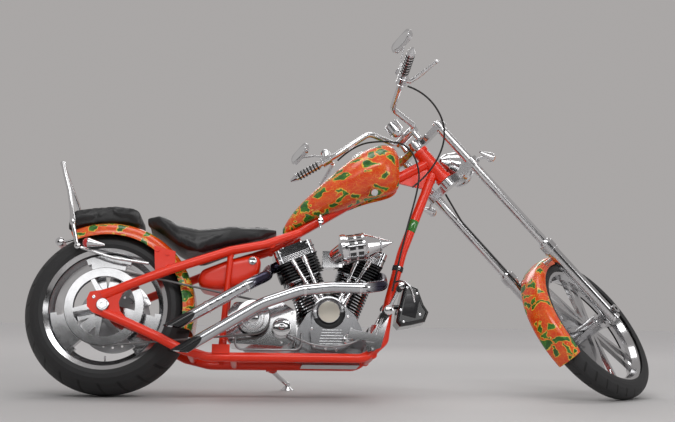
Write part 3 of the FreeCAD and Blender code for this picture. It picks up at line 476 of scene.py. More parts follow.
@dataclass(frozen=True)
class TreadFinish(Finish):
    """Rubber with grooves placed round one wheel, the grooves darkened in colour as painted shade."""

    centre: tuple = (0.0, 0.0, 0.0)
    axle: tuple = (0.0, 1.0, 0.0)
    ahead: tuple = (1.0, 0.0, 0.0)
    half_width: float = 0.12
    count: float = 22.0

    def extend(self, t: Tree, shader: bpy.types.Node) -> None:
        """Feeds the grooves to bump, and their painted shade to colour.

        Args:
            t: The material's tree.
            shader: Its surface shader.
        """
        tread = t.node("ShaderNodeGroup")
        tread.node_tree = GROUPS.tread()
        t.fill(tread, Centre=self.centre, Axle=self.axle, Ahead=self.ahead, Half_Width=self.half_width,
               Count=self.count)
        bump = t.node("ShaderNodeBump", Distance=0.003, Strength=0.8)
        t.link(tread.outputs["Height"], bump.inputs["Height"])
        t.link(bump.outputs[0], shader.inputs["Normal"])
        t.link(tread.outputs["Color"], shader.inputs["Base Color"])


CHROME = Finish("chrome", (0.60, 0.61, 0.63), 1.0, 0.07, 0.05, 25.0)
SATIN = Finish("satin alloy", (0.58, 0.59, 0.60), 1.0, 0.26, 0.12, 80.0, 0.04)
POLISHED = Finish("polished alloy", (0.60, 0.60, 0.61), 1.0, 0.13, 0.08, 40.0)
PAINT = Finish("frame paint", (0.86, 0.026, 0.001), 0.0, 0.32, 0.04, 30.0, 0.0, 0.15)
ART = ArtFinish("artwork paint", (0.90, 0.13, 0.005), 0.0, 0.26, 0.04, 30.0, 0.0, 0.4)
BLACK_METAL = Finish("black enamel", (0.016, 0.016, 0.018), 0.2, 0.32, 0.10, 90.0, 0.05, 0.2)
GLOSS_BLACK = Finish("gloss black", (0.009, 0.009, 0.010), 0.0, 0.16, 0.06, 50.0, 0.0, 0.6)
RUBBER = Finish("black rubber", (0.014, 0.014, 0.014), 0.0, 0.55, 0.14, 120.0, 0.10)
LEATHER = Finish("black leather", (0.011, 0.011, 0.012), 0.0, 0.40, 0.16, 420.0, 0.30)
DISC = Finish("brushed disc", (0.50, 0.50, 0.51), 1.0, 0.32, 0.18, 240.0, 0.05)
BELT = Finish("belt", (0.16, 0.16, 0.17), 0.0, 0.5, 0.12, 200.0, 0.10)
CREAM = Finish("cream enamel", (0.74, 0.70, 0.60), 0.0, 0.34, 0.08, 70.0, 0.0, 0.2)
GLASS = Finish("clear lens", (0.92, 0.94, 0.95), 0.0, 0.03, 0.01, 30.0, 0.0, 0.0, 0.0, 0.85)
MIRROR = Finish("mirror glass", (0.90, 0.91, 0.92), 1.0, 0.02, 0.01, 20.0)
# the red and amber lenses carry a faint painted glow; their lamps give no light in the scene
RED_LENS = Finish("red lens", (0.45, 0.004, 0.004), 0.0, 0.10, 0.03, 40.0, 0.0, 1.0, 0.15)
AMBER = Finish("amber lens", (0.80, 0.22, 0.01), 0.0, 0.10, 0.03, 40.0, 0.0, 1.0, 0.05)
GREEN = Finish("green enamel", (0.02, 0.20, 0.015), 0.0, 0.22, 0.04, 30.0, 0.0, 1.0)
CAST = Finish("buffed casting", (0.31, 0.31, 0.32), 1.0, 0.20, 0.14, 34.0, 0.06)
BRAID = Finish("steel braid", (0.34, 0.34, 0.35), 0.9, 0.34, 0.16, 700.0, 0.30)
THREAD = Finish("thread", (0.05, 0.05, 0.052), 0.0, 0.5, 0.1, 300.0)
DIAL = Finish("dial", (0.75, 0.75, 0.72), 0.0, 0.4, 0.05, 60.0)


@dataclass(frozen=True)
class ZonedFinish(Finish):
    """One finish below a plane and another beyond it, for a part with two trims."""

    other: Finish = CHROME
    point: tuple = (0.0, 0.0, 0.0)
    normal: tuple = (0.0, 0.0, 1.0)
    blur: float = 0.0015
    edge_radius: float = 0.0
    mouth: tuple = ()

    def extend(self, t: Tree, shader: bpy.types.Node) -> None:
        """Mixes the two finishes by the side of the plane.

        Args:
            t: The material's tree.
            shader: Its surface shader.
        """
        pos = t.node("ShaderNodeTexCoord")
        rel = t.vector("SUBTRACT", pos.outputs["Object"], self.point)
        dot = t.vector("DOT_PRODUCT", rel, self.normal)
        side = t.ramp(dot, -self.blur, self.blur)
        if self.edge_radius:
            off = t.vector("LENGTH", t.vector("SUBTRACT", rel, t.scaled(self.normal, dot)))
            rim = t.ramp(off, self.edge_radius - 0.0008, self.edge_radius)
            below = t.ramp(t.math("MULTIPLY", dot, -1.0), 0.080, 0.083)
            side = t.math("MAXIMUM", side, t.math("MULTIPLY", rim, below))
        color = t.mix(side, self.color, self.other.color)
        metal = t.math("ADD", self.metallic, t.math("MULTIPLY", side, self.other.metallic - self.metallic))
        # painted shade: the pipe's open mouth is painted near-black and not metal, for its hollow inside
        if self.mouth:
            gap = t.vector("SUBTRACT", pos.outputs["Object"], self.mouth[0])
            over = t.vector("DOT_PRODUCT", gap, self.mouth[1])
            dark = t.ramp(over, -0.0003, 0.0003)
            color = t.mix(dark, color, MOUTH_PAINTED_SHADE)
            metal = t.math("MULTIPLY", metal, t.math("SUBTRACT", 1.0, dark))
        t.link(color, shader.inputs["Base Color"])
        t.link(metal, shader.inputs["Metallic"])
        grain = next(n for n in t.tree.nodes if n.bl_idname == "ShaderNodeGroup")
        rough = t.math("ADD", grain.outputs["Roughness"],
                       t.math("MULTIPLY", side, self.other.roughness - self.roughness))
        t.link(rough, shader.inputs["Roughness"])


# ------------------------------------------------------------------ modelling by operators
@dataclass
class Shop:
    """Models pieces by operators in bike millimetres and sets them in the frame."""

    space: BikeSpace

    def clear(self) -> None:
        """Leaves object mode with nothing selected."""
        if bpy.context.object and bpy.context.object.mode != "OBJECT":
            bpy.ops.object.mode_set(mode="OBJECT")
        bpy.ops.object.select_all(action="DESELECT")

    def turn_to(self, direction: Vector) -> tuple:
        """The Euler angles that turn Z to a direction."""
        return tuple(Vector(direction).to_track_quat("Z", "Y").to_euler())

    def turned(self, profile: Sequence[tuple], at: Vector, along: Vector,
               sides: int = 32) -> bpy.types.Object:
        """A lathe-turned piece: a disc extruded and resized along its axis.

        Args:
            profile: (radius, distance) pairs from the first face to the last.
            at: Origin of the distances.
            along: Axis direction.
            sides: Sides of the circle.

        Returns:
            The object, in object mode.
        """
        self.clear()
        axis = Vector(along).normalized()
        first = profile[0]
        bpy.ops.mesh.primitive_circle_add(vertices=sides, radius=first[0], fill_type="NGON",
                                          location=Vector(at) + axis * first[1], rotation=self.turn_to(axis))
        obj = bpy.context.object
        bpy.ops.object.transform_apply(location=True, rotation=True, scale=True)
        bpy.ops.object.mode_set(mode="EDIT")
        bpy.ops.mesh.select_all(action="SELECT")
        last = first
        for r, d in profile[1:]:
            bpy.ops.mesh.extrude_region_move(
                TRANSFORM_OT_translate={"value": tuple(axis * (d - last[1])), "orient_type": "GLOBAL"})
            k = r / last[0]
            bpy.ops.transform.resize(value=(k, k, k), center_override=tuple(Vector(at) + axis * d))
            last = (r, d)
        bpy.ops.mesh.select_all(action="SELECT")
        bpy.ops.mesh.normals_make_consistent(inside=False)
        bpy.ops.object.mode_set(mode="OBJECT")
        bpy.ops.object.shade_smooth_by_angle(angle=SMOOTH_ANGLE)
        return obj

    def block(self, at: Vector, size: tuple, x_dir: Vector, z_dir: Vector, bevel: float = 1.0,
              segments: int = 2) -> bpy.types.Object:
        """A bevelled block; size runs along x_dir, their cross and z_dir.

        Args:
            at: Its middle.
            size: Its three sizes in millimetres.
            x_dir: The first side's direction.
            z_dir: The third side's.
            bevel: The width of the bevel.
            segments: Its segments.

        Returns:
            The block.
        """
        self.clear()
        x, z = Vector(x_dir).normalized(), Vector(z_dir).normalized()
        y = z.cross(x).normalized()
        z = x.cross(y)
        turn = Matrix((x, y, z)).transposed()
        bpy.ops.mesh.primitive_cube_add(size=1.0, location=at, rotation=turn.to_euler(), scale=size)
        obj = bpy.context.object
        bpy.ops.object.transform_apply(location=True, rotation=True, scale=True)
        self.bevel(obj, bevel, segments)
        return obj

    def bevel(self, obj: bpy.types.Object, width: float, segments: int = 2) -> None:
        """Applies a bevel by angle.

        Args:
            obj: The piece.
            width: The width in millimetres.
            segments: Its segments.
        """
        mod = obj.modifiers.new("bevel", "BEVEL")
        mod.width, mod.segments, mod.limit_method = width, segments, "ANGLE"
        self.apply(obj, mod)
        bpy.ops.object.shade_smooth_by_angle(angle=SMOOTH_ANGLE)

    def apply(self, obj: bpy.types.Object, mod: bpy.types.Modifier) -> None:
        """Applies one modifier.

        Args:
            obj: The piece.
            mod: The modifier.
        """
        self.clear()
        obj.select_set(True)
        bpy.context.view_layer.objects.active = obj
        bpy.ops.object.modifier_apply(modifier=mod.name)

    def copy(self, obj: bpy.types.Object, matrix: Matrix) -> bpy.types.Object:
        """A copy with its own mesh, moved by a matrix in bike millimetres.

        Args:
            obj: The piece.
            matrix: The move.

        Returns:
            The copy.
        """
        made = obj.copy()
        made.data = obj.data.copy()
        made.data.transform(matrix)
        if matrix.determinant() < 0:
            made.data.flip_normals()
        bpy.context.scene.collection.objects.link(made)
        return made

    def ring(self, obj: bpy.types.Object, centre: Vector, axis: Vector, count: int) -> list:
        """Copies round an axis, the first being the object itself.

        Args:
            obj: The first piece.
            centre: A point on the axis.
            axis: Its direction.
            count: The number of pieces.

        Returns:
            All of them.
        """
        home, back = Matrix.Translation(centre), Matrix.Translation(-Vector(centre))
        return [obj] + [self.copy(obj, home @ Matrix.Rotation(math.tau * i / count, 4, Vector(axis)) @ back)
                        for i in range(1, count)]

    def mirrored(self, objs: Iterable[bpy.types.Object]) -> list:
        """The pieces and their mirror images across the bike's middle.

        Args:
            objs: The pieces of one side.

        Returns:
            Both sides.
        """
        found = list(objs)
        flip = Matrix.Diagonal((1.0, -1.0, 1.0, 1.0))
        return found + [self.copy(o, flip) for o in found]

    def join(self, objs: Sequence[bpy.types.Object], name: str) -> bpy.types.Object:
        """Joins pieces into one object.

        Args:
            objs: The pieces.
            name: The name of the result.

        Returns:
            The first piece, which now holds all.
        """
        self.clear()
        for o in objs:
            o.select_set(True)
        bpy.context.view_layer.objects.active = objs[0]
        if len(objs) > 1:
            bpy.ops.object.join()
        objs[0].name = name
        objs[0].data.name = name
        return objs[0]

    def wire(self, points: Sequence, radius: float, sides: int = 12, closed: bool = False,
             taper: Sequence | None = None) -> bpy.types.Object:
        """A round bar along a smooth curve through its control points.

        Args:
            points: The control points.
            radius: The radius.
            sides: The sides of its round.
            closed: True for a loop.
            taper: A share of the radius for each point.

        Returns:
            The bar.
        """
        self.clear()
        data = bpy.data.curves.new("line", "CURVE")
        data.dimensions, data.bevel_depth, data.bevel_resolution = "3D", radius, max(sides // 4, 1)
        data.use_fill_caps, data.resolution_u = True, 10
        spline = data.splines.new("NURBS")
        spline.points.add(len(points) - 1)
        for i, p in enumerate(points):
            spline.points[i].co = (*p, 1.0)
            spline.points[i].radius = taper[i] if taper else 1.0
        spline.order_u, spline.use_endpoint_u, spline.use_cyclic_u = 3, not closed, closed
        obj = bpy.data.objects.new("line", data)
        bpy.context.scene.collection.objects.link(obj)
        obj.select_set(True)
        bpy.context.view_layer.objects.active = obj
        bpy.ops.object.convert(target="MESH")
        obj = bpy.context.object
        bpy.ops.object.shade_smooth_by_angle(angle=LINE_ANGLE)
        return obj

    def taken(self, node: str, name: str) -> bpy.types.Object:
        """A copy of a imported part, merged at its doubled vertices.

        Args:
            node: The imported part.
            name: The copy's name.

        Returns:
            The copy in frame metres, selected and active.
        """
        self.clear()
        obj = bpy.data.objects.new(name, frame["nodes"][node].data.copy())
        bpy.context.scene.collection.objects.link(obj)
        obj.select_set(True)
        bpy.context.view_layer.objects.active = obj
        bpy.ops.object.mode_set(mode="EDIT")
        bpy.ops.mesh.select_all(action="SELECT")
        bpy.ops.mesh.remove_doubles(threshold=MERGE)
        bpy.ops.object.mode_set(mode="OBJECT")
        return obj

    def modify(self, obj: bpy.types.Object, *steps: tuple) -> None:
        """Applies a row of modifiers.

        Args:
            obj: The piece.
            steps: Pairs of a modifier's kind and its values by name.
        """
        for kind, values in steps:
            mod = obj.modifiers.new(kind.lower(), kind)
            for key, value in values.items():
                setattr(mod, key, value)
            self.apply(obj, mod)

    def dress(self, obj: bpy.types.Object, finish: Finish, node: str | None = None) -> None:
        """Gives a piece in frame metres its finish and makes it ride on the frame.

        Args:
            obj: The piece.
            finish: Its finish.
            node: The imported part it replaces, if any.
        """
        obj.data.name = obj.name
        obj.data.materials.clear()
        obj.data.materials.append(finish.build())
        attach(obj, Body.FRAME.value)
        if node:
            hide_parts(node)
        LOG.info("piece %s: %d faces on the frame", obj.name, len(obj.data.polygons))

    def seat(self, obj: bpy.types.Object, name: str, finish: Finish, body: Body, slot: str | None = None,
             ride: bool = True) -> bpy.types.Object:
        """Moves a finished piece into the frame, dresses it and makes it ride.

        Args:
            obj: The piece, modelled in bike millimetres.
            name: Its name.
            finish: Its finish.
            body: The body whose space it was modelled in.
            slot: Not used.
            ride: False for a piece that is left unattached to any body.

        Returns:
            The same object.
        """
        obj.name = name
        obj.data.name = name
        obj.data.transform(self.space.matrix(body))
        obj.data.materials.clear()
        obj.data.materials.append(finish.build())
        if ride:
            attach(obj, body.value)
        LOG.info("piece %s: %d faces on %s", name, len(obj.data.polygons), body.value)
        return obj

    def fit(self, name: str, pieces: object, finish: Finish, body: Body = Body.FRAME,
            slot: str | None = None) -> bpy.types.Object:
        """Joins a list of pieces, or takes the one piece, and seats it.

        Args:
            name: The joined piece's name.
            pieces: One object, or a list of them.
            finish: Its finish.
            body: The body whose space it was modelled in.
            slot: The record's material slot, if it takes one.

        Returns:
            The seated object.
        """
        found = pieces if isinstance(pieces, list) else [pieces]
        return self.seat(self.join(found, name), name, finish, body, slot)


SHOP = Shop(SPACE)


# ------------------------------------------------------------------ stage
@dataclass
class Stage:
    """Floor, lights, world and camera."""

    lens: float = 50.17
    place: tuple = (-0.4081, -3.8699, 0.3715)
    yaw: float = -0.0876
    pitch: float = 0.0993
    roll: float = -0.0147
    floor_tone: tuple = (0.54, 0.525, 0.518)
    far_tone: tuple = (0.93, 0.90, 0.885)
    fade: tuple = (1.6, 6.5)

    def build(self) -> None:
        """Makes the whole stage."""
        self.floor()
        self.world()
        for name, spot, size, power in (("key", (0.2, -3.4, 3.3), (4.2, 0.9), 72.0),
                                        ("top", (0.0, 0.2, 4.4), (3.4, 1.6), 40.0),
                                        ("back", (0.5, 3.4, 2.8), (3.4, 0.9), 34.0),
                                        ("face", (-0.4, -4.6, 2.1), (4.4, 0.5), 13.0),
                                        ("side", (3.6, -2.6, 1.5), (0.7, 2.0), 16.0)):
            self.lamp(name, spot, size, power)
        self.flag()
        self.camera()

    def floor(self) -> None:
        """A pale seamless floor that keeps the shadow."""
        SHOP.clear()
        bpy.ops.mesh.primitive_plane_add(size=24.0, location=(0.0, 0.0, 0.0))
        obj = bpy.context.object
        obj.name = "floor"
        obj.location = (0.0, 0.0, -0.0005)
        mat = bpy.data.materials.new("floor")
        mat.use_nodes = True
        t = Tree(mat.node_tree)
        shader = mat.node_tree.nodes["Principled BSDF"]
        noise = t.node("ShaderNodeTexNoise", Scale=3.0)
        pos = t.node("ShaderNodeTexCoord")
        t.link(pos.outputs["Object"], noise.inputs["Vector"])
        tone = tuple(c * 0.985 for c in self.floor_tone)
        near = t.mix(noise.outputs[0], tone, self.floor_tone)
        far = t.ramp(t.vector("LENGTH", pos.outputs["Object"]), *self.fade)
        t.link(t.mix(far, near, self.far_tone), shader.inputs["Base Color"])
        shader.inputs["Roughness"].default_value = 0.65
        obj.data.materials.append(mat)

    def world(self) -> None:
        """Soft grey surroundings, the same for the camera, metal and glass."""
        world = bpy.data.worlds.new("studio")
        bpy.context.scene.world = world
        world.use_nodes = True
        tree = world.node_tree
        t = Tree(tree)
        back = tree.nodes["Background"]
        rays = t.node("ShaderNodeLightPath")
        seen = t.math("MAXIMUM", rays.outputs["Is Camera Ray"], rays.outputs["Is Transmission Ray"])
        seen = t.math("MAXIMUM", seen, rays.outputs["Is Glossy Ray"])
        coord = t.node("ShaderNodeTexCoord")
        split = t.node("ShaderNodeSeparateXYZ")
        t.link(coord.outputs["Generated"], split.inputs[0])
        lift = t.ramp(split.outputs[2], -0.15, 0.75)
        sky = t.mix(lift, SKY_LOW, SKY_HIGH)
        t.link(t.mix(seen, sky, BACKDROP), back.inputs["Color"])
        back.inputs["Strength"].default_value = 1.0

    def flag(self) -> None:
        """A black studio cloth that only bright metal sees, so that its shape reads."""
        SHOP.clear()
        bpy.ops.mesh.primitive_plane_add(size=1.0, location=(0.0, 0.0, 0.0))
        obj = bpy.context.object
        obj.name = "flag"
        obj.scale = (11.0, 2.4, 1.0)
        obj.rotation_euler = (math.pi / 2, 0.0, 0.0)
        obj.location = (0.0, -5.2, 2.3)
        obj.visible_camera = obj.visible_diffuse = obj.visible_shadow = obj.visible_transmission = False
        mat = bpy.data.materials.new("flag")
        mat.use_nodes = True
        mat.node_tree.nodes["Principled BSDF"].inputs["Base Color"].default_value = (0.01, 0.01, 0.01, 1.0)
        obj.data.materials.append(mat)

    def lamp(self, name: str, spot: tuple, size: tuple, power: float) -> None:
        """One soft area lamp aimed at the middle of the bike.

        Args:
            name: Its name.
            spot: Its place in metres.
            size: Its width and height in metres.
            power: Its power in watts.
        """
        SHOP.clear()
        bpy.ops.object.light_add(type="AREA", location=spot)
        obj = bpy.context.object
        obj.name = name
        obj.data.shape, obj.data.energy = "RECTANGLE", power
        obj.data.size, obj.data.size_y = size
        aim = Vector((0.0, 0.0, 0.5)) - Vector(spot)
        obj.rotation_euler = aim.to_track_quat("-Z", "Y").to_euler()

    def camera(self) -> None:
        """The camera at the fitted viewing angle."""
        cam = bpy.data.cameras.new("camera")
        cam.lens, cam.sensor_width = self.lens, 36.0
        obj = bpy.data.objects.new("camera", cam)
        bpy.context.scene.collection.objects.link(obj)
        turn = (Matrix.Rotation(self.yaw, 4, "Z") @ Matrix.Rotation(self.pitch, 4, "X")
                @ Matrix.Rotation(self.roll, 4, "Y") @ Matrix.Rotation(math.pi / 2, 4, "X"))
        obj.matrix_world = Matrix.Translation(self.place) @ turn
        bpy.context.scene.camera = obj
        bpy.context.scene.view_settings.view_transform = "Standard"


# ------------------------------------------------------------------ finishes on the carried-over parts
@dataclass
class NodeFinishes:
    """Gives each carried-over part its finish."""

    crank: Vector = field(default_factory=CRANK.copy)
    vee_deg: float = VEE_DEG
    fin_radius: float = 0.0765

    def place(self, p: Vector, body: Body = Body.FRAME) -> tuple:
        """A bike point as frame coordinates."""
        return tuple(SPACE.matrix(body) @ p)

    def heading(self, v: Vector, body: Body = Body.FRAME) -> tuple:
        """A bike direction as a unit vector in the frame."""
        return tuple((SPACE.matrix(body).to_3x3() @ v).normalized())

    def tread(self, name: str, centre: Vector, body: Body, half: float, count: float) -> TreadFinish:
        """Tread for one wheel.

        Args:
            name: The finish's name.
            centre: The wheel's middle.
            body: The wheel's body.
            half: Half the tyre's width.
            count: Grooves round the tyre.

        Returns:
            The finish.
        """
        return TreadFinish(name, (0.02, 0.02, 0.021), 0.0, 0.62, 0.10, 120.0, 0.0, 0.0,
                           centre=self.place(centre, body), axle=self.heading(LEFT, body),
                           ahead=self.heading(AHEAD, body), half_width=half, count=count)

    def barrel(self, name: str, lean: float) -> ZonedFinish:
        """Black fins with a chrome rocker box above the head.

        Args:
            name: The finish's name.
            lean: The cylinder's angle.

        Returns:
            The finish.
        """
        axis = leaned(lean)[0]
        return ZonedFinish(name, (0.020, 0.020, 0.022), 0.35, 0.30, 0.05, 40.0, 0.0, other=CHROME,
                           point=self.place(self.crank + axis * 352.0), normal=self.heading(axis),
                           edge_radius=self.fin_radius)

    def pipe(self, name: str, x: float, before: tuple, end: tuple) -> ZonedFinish:
        """Heat-blued ahead of a station, bright behind it, and painted near-black in its slashed mouth as
        painted shade for the hollow end.

        Args:
            name: The finish's name.
            x: The station.
            before: A point of the run ahead of the mouth.
            end: The middle of the mouth.

        Returns:
            The finish.
        """
        d = (Vector(end) - Vector(before)).normalized()
        out = (RIGHT - d * RIGHT.dot(d)).normalized()
        lip = Vector(end) + d * 20.0 + out * 22.0
        mouth = (self.place(lip), self.heading((d * 36.0 + out * 120.0).normalized()))
        return ZonedFinish(name, (0.05, 0.045, 0.075), 0.95, 0.18, 0.08, 60.0, 0.0, other=CHROME,
                           point=self.place(Vector((x, -200.0, 400.0))), normal=self.heading(-AHEAD),
                           blur=0.03, mouth=mouth)

    def build(self) -> None:
        """Assigns every finish."""
        table = {"frame": PAINT, "oil_tank": PAINT, "fuel_tank": ART, "rear_axle": CHROME,
                 "engine_block": CAST, "gearbox": CHROME, "primary_cover": CHROME,
                 "pushrod_tubes": CHROME, "air_cleaner": CHROME, "final_belt": BELT,
                 "front_exhaust": self.pipe("front pipe", 1030.0, (604, -246, 332), (400, -246, 208)),
                 "rear_exhaust": self.pipe("rear pipe", 560.0, (560, -236, 412), (370, -240, 300)),
                 "sissy_bar": CHROME,
                 "rear_lamps": CHROME, "rear_caliper": CHROME, "foot_controls": CHROME,
                 "front_pod": GLOSS_BLACK, "oil_line": BRAID, "triple_trees": POLISHED,
                 "fork_tubes": CHROME, "fork_sliders": POLISHED, "handlebar": CHROME,
                 "grips": CHROME, "hand_controls": CHROME, "mirrors": CHROME,
                 "speedometer": CHROME, "front_lamps": CHROME, "front_caliper": CHROME,
                 "brake_hose": RUBBER, "clutch_cable": RUBBER, "throttle_cable": RUBBER,
                 "front_rim": POLISHED, "rear_rim": POLISHED, "rear_pulley": POLISHED,
                 "front_disc": DISC, "rear_disc": DISC, "side_stand": CHROME,
                 "front_fender": ART, "rear_fender": ART, "rider_seat": LEATHER,
                 "passenger_seat": LEATHER,
                 "rear_tyre": self.tread("rear tyre rubber", REAR_AXLE, Body.REAR_WHEEL, 0.125, 24.0),
                 "front_tyre": self.tread("front tyre rubber", FRONT_AXLE, Body.FRONT_WHEEL, 0.047, 34.0),
                 "front_cylinder": self.barrel("front barrel enamel", self.vee_deg),
                 "rear_cylinder": self.barrel("rear barrel enamel", -self.vee_deg)}
        for name, obj in frame["nodes"].items():
            finish = table.get(name, CHROME)
            obj.data.materials.clear()
            obj.data.materials.append(finish.build())
            LOG.info("finish %s on %s", finish.name, name)


# ------------------------------------------------------------------ seats
@dataclass
class Seats:
    """The rider's saddle and the passenger pad, padded by cloth and then sewn."""

    voxel: float = 0.0055
    pressure: float = 4.0
    swell: float = 0.007
    inset: float = 0.0035
    groove: float = 0.0035
    rider_fill: float = 0.7
    pillion_fill: float = 0.65

    def build(self) -> None:
        """Makes both pads with their seams and stitches."""
        rider = self.pad("rider_seat", "saddle")
        self.sew(rider, lambda p: abs(abs(p.y) - self.rider_line(p.x)), p_min=150.0, p_max=640.0)
        SHOP.dress(rider, LEATHER, "rider_seat")
        pillion = self.pad("passenger_seat", "pillion_pad")
        self.sew(pillion, lambda p: min(abs(abs(p.y) - 62.0), abs(p.x + 25.0) if abs(p.y) < 62 else 99.0),
                 p_min=-150.0, p_max=105.0)
        SHOP.dress(pillion, LEATHER, "passenger_seat")
        self.stitches()

    def rider_line(self, x: float) -> float:
        """Half width of the saddle's sewn centre panel at a station."""
        return 74.0 - 34.0 * max(0.0, (x - 360.0) / 280.0)

    def pad(self, node: str, name: str) -> bpy.types.Object:
        """A padded shape from one soft part.

        Args:
            node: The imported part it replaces.
            name: The new piece's name.

        Returns:
            The remeshed and swollen object in frame metres.
        """
        obj = SHOP.taken(node, name)
        SHOP.modify(obj, ("REMESH", {"mode": "VOXEL", "voxel_size": self.voxel}),
                    ("SMOOTH", {"factor": 0.8, "iterations": 9}))
        self.shrink(obj)
        self.inflate(obj)
        SHOP.modify(obj, ("SUBSURF", {"levels": 1, "render_levels": 1}))
        bpy.ops.object.shade_smooth()
        return obj

    def shrink(self, obj: bpy.types.Object) -> None:
        """Draws the surface in a little, so that the swelling ends at the real size.

        Args:
            obj: The pad.
        """
        mesh = obj.data
        normals = [v.normal.copy() for v in mesh.vertices]
        for v, n in zip(mesh.vertices, normals):
            v.co -= n * self.inset
        mesh.update()

    def inflate(self, obj: bpy.types.Object) -> None:
        """Swells the pad by cloth pressure, with the movement of each point capped.

        Args:
            obj: The pad.
        """
        start = [v.co.copy() for v in obj.data.vertices]
        mod = obj.modifiers.new("cloth", "CLOTH")
        mod.settings.use_pressure = True
        mod.settings.uniform_pressure_force = self.pressure
        mod.settings.effector_weights.gravity = 0.0
        mod.settings.quality = 4
        mod.point_cache.frame_start, mod.point_cache.frame_end = 1, 20
        scene = bpy.context.scene
        for step in range(1, 21):
            scene.frame_set(step)
        SHOP.apply(obj, mod)
        scene.frame_set(1)
        for v, home in zip(obj.data.vertices, start):
            move = v.co - home
            if move.length > self.swell:
                v.co = home + move * (self.swell / move.length)
        obj.data.update()

    def sew(self, obj: bpy.types.Object, distance: Callable[[Vector], float], p_min: float,
            p_max: float) -> None:
        """Sinks a channel along the seams on the upper side.

        Args:
            obj: The pad in frame metres.
            distance: Distance in bike millimetres from a point to the nearest seam.
            p_min: Where the seams begin along the bike.
            p_max: Where they end.
        """
        back = SPACE.main.inverted()
        mesh = obj.data
        up = (SPACE.main.to_3x3() @ UP).normalized()
        moves = []
        for v in mesh.vertices:
            p = back @ v.co
            facing = v.normal.dot(up)
            fade = min(1.0, max(0.0, (p.x - p_min) / 25.0), max(0.0, (p_max - p.x) / 25.0))
            if facing < 0.15 or fade <= 0.0:
                continue
            depth = self.groove * math.exp(-(distance(p) / 4.6) ** 2) * fade * min(1.0, facing * 2.0)
            if depth > 0.00005:
                moves.append((v, v.normal * depth))
        for v, move in moves:
            v.co -= move
        mesh.update()

    def stitches(self) -> None:
        """Rows of thread beside the seams, laid on the pads by ray."""
        depsgraph = bpy.context.evaluated_depsgraph_get()
        up = (SPACE.main.to_3x3() @ UP).normalized()
        for pad_name, x0, x1, line in (("saddle", 165.0, 625.0, self.rider_line),
                                       ("pillion_pad", -140.0, 95.0, lambda x: 62.0)):
            pad = bpy.data.objects[pad_name].evaluated_get(depsgraph)
            spots = []
            x = x0
            while x < x1:
                for side in (-1.0, 1.0):
                    for gap in (-6.5, 6.5):
                        top = SPACE.main @ Vector((x, side * (line(x) + gap), 900.0))
                        hit, where, normal, _ = pad.ray_cast(top, -up)
                        if hit:
                            spots.append((where, normal))
                x += 7.5
            self.thread(pad_name + "_thread", spots)

    def thread(self, name: str, spots: Sequence[tuple]) -> None:
        """One row of short stitches, each a copy of a small bead of thread.

        Args:
            name: The row's name.
            spots: Pairs of a point and a normal, in frame metres.
        """
        ahead = (SPACE.main.to_3x3() @ AHEAD).normalized()
        SHOP.clear()
        bpy.ops.mesh.primitive_uv_sphere_add(segments=6, ring_count=4, radius=1.0)
        bead = bpy.context.object
        meshes = []
        for where, normal in spots:
            x = (ahead - normal * ahead.dot(normal)).normalized()
            y = normal.cross(x)
            turn = Matrix((x * 0.0023, y * 0.0006, normal * 0.0005)).transposed().to_4x4()
            turn.translation = where + normal * 0.0001
            copy = bead.copy()
            copy.data = bead.data.copy()
            copy.data.transform(turn)
            bpy.context.scene.collection.objects.link(copy)
            meshes.append(copy)
        bpy.data.objects.remove(bead)
        SHOP.dress(SHOP.join(meshes, name), THREAD)


# ------------------------------------------------------------------ oil tank
@dataclass
class OilTank:
    """The oil tank under the saddle, with its edges drawn round."""

    voxel: float = 0.005
    rounds: int = 26

    def build(self) -> None:
        """Remeshes and smooths a copy of the tank."""
        obj = SHOP.taken("oil_tank", "oil_tank_shell")
        SHOP.modify(obj, ("REMESH", {"mode": "VOXEL", "voxel_size": self.voxel}),
                    ("SMOOTH", {"factor": 0.9, "iterations": self.rounds}),
                    ("SUBSURF", {"levels": 1, "render_levels": 1}))
        bpy.ops.object.shade_smooth()
        SHOP.dress(obj, PAINT, "oil_tank")


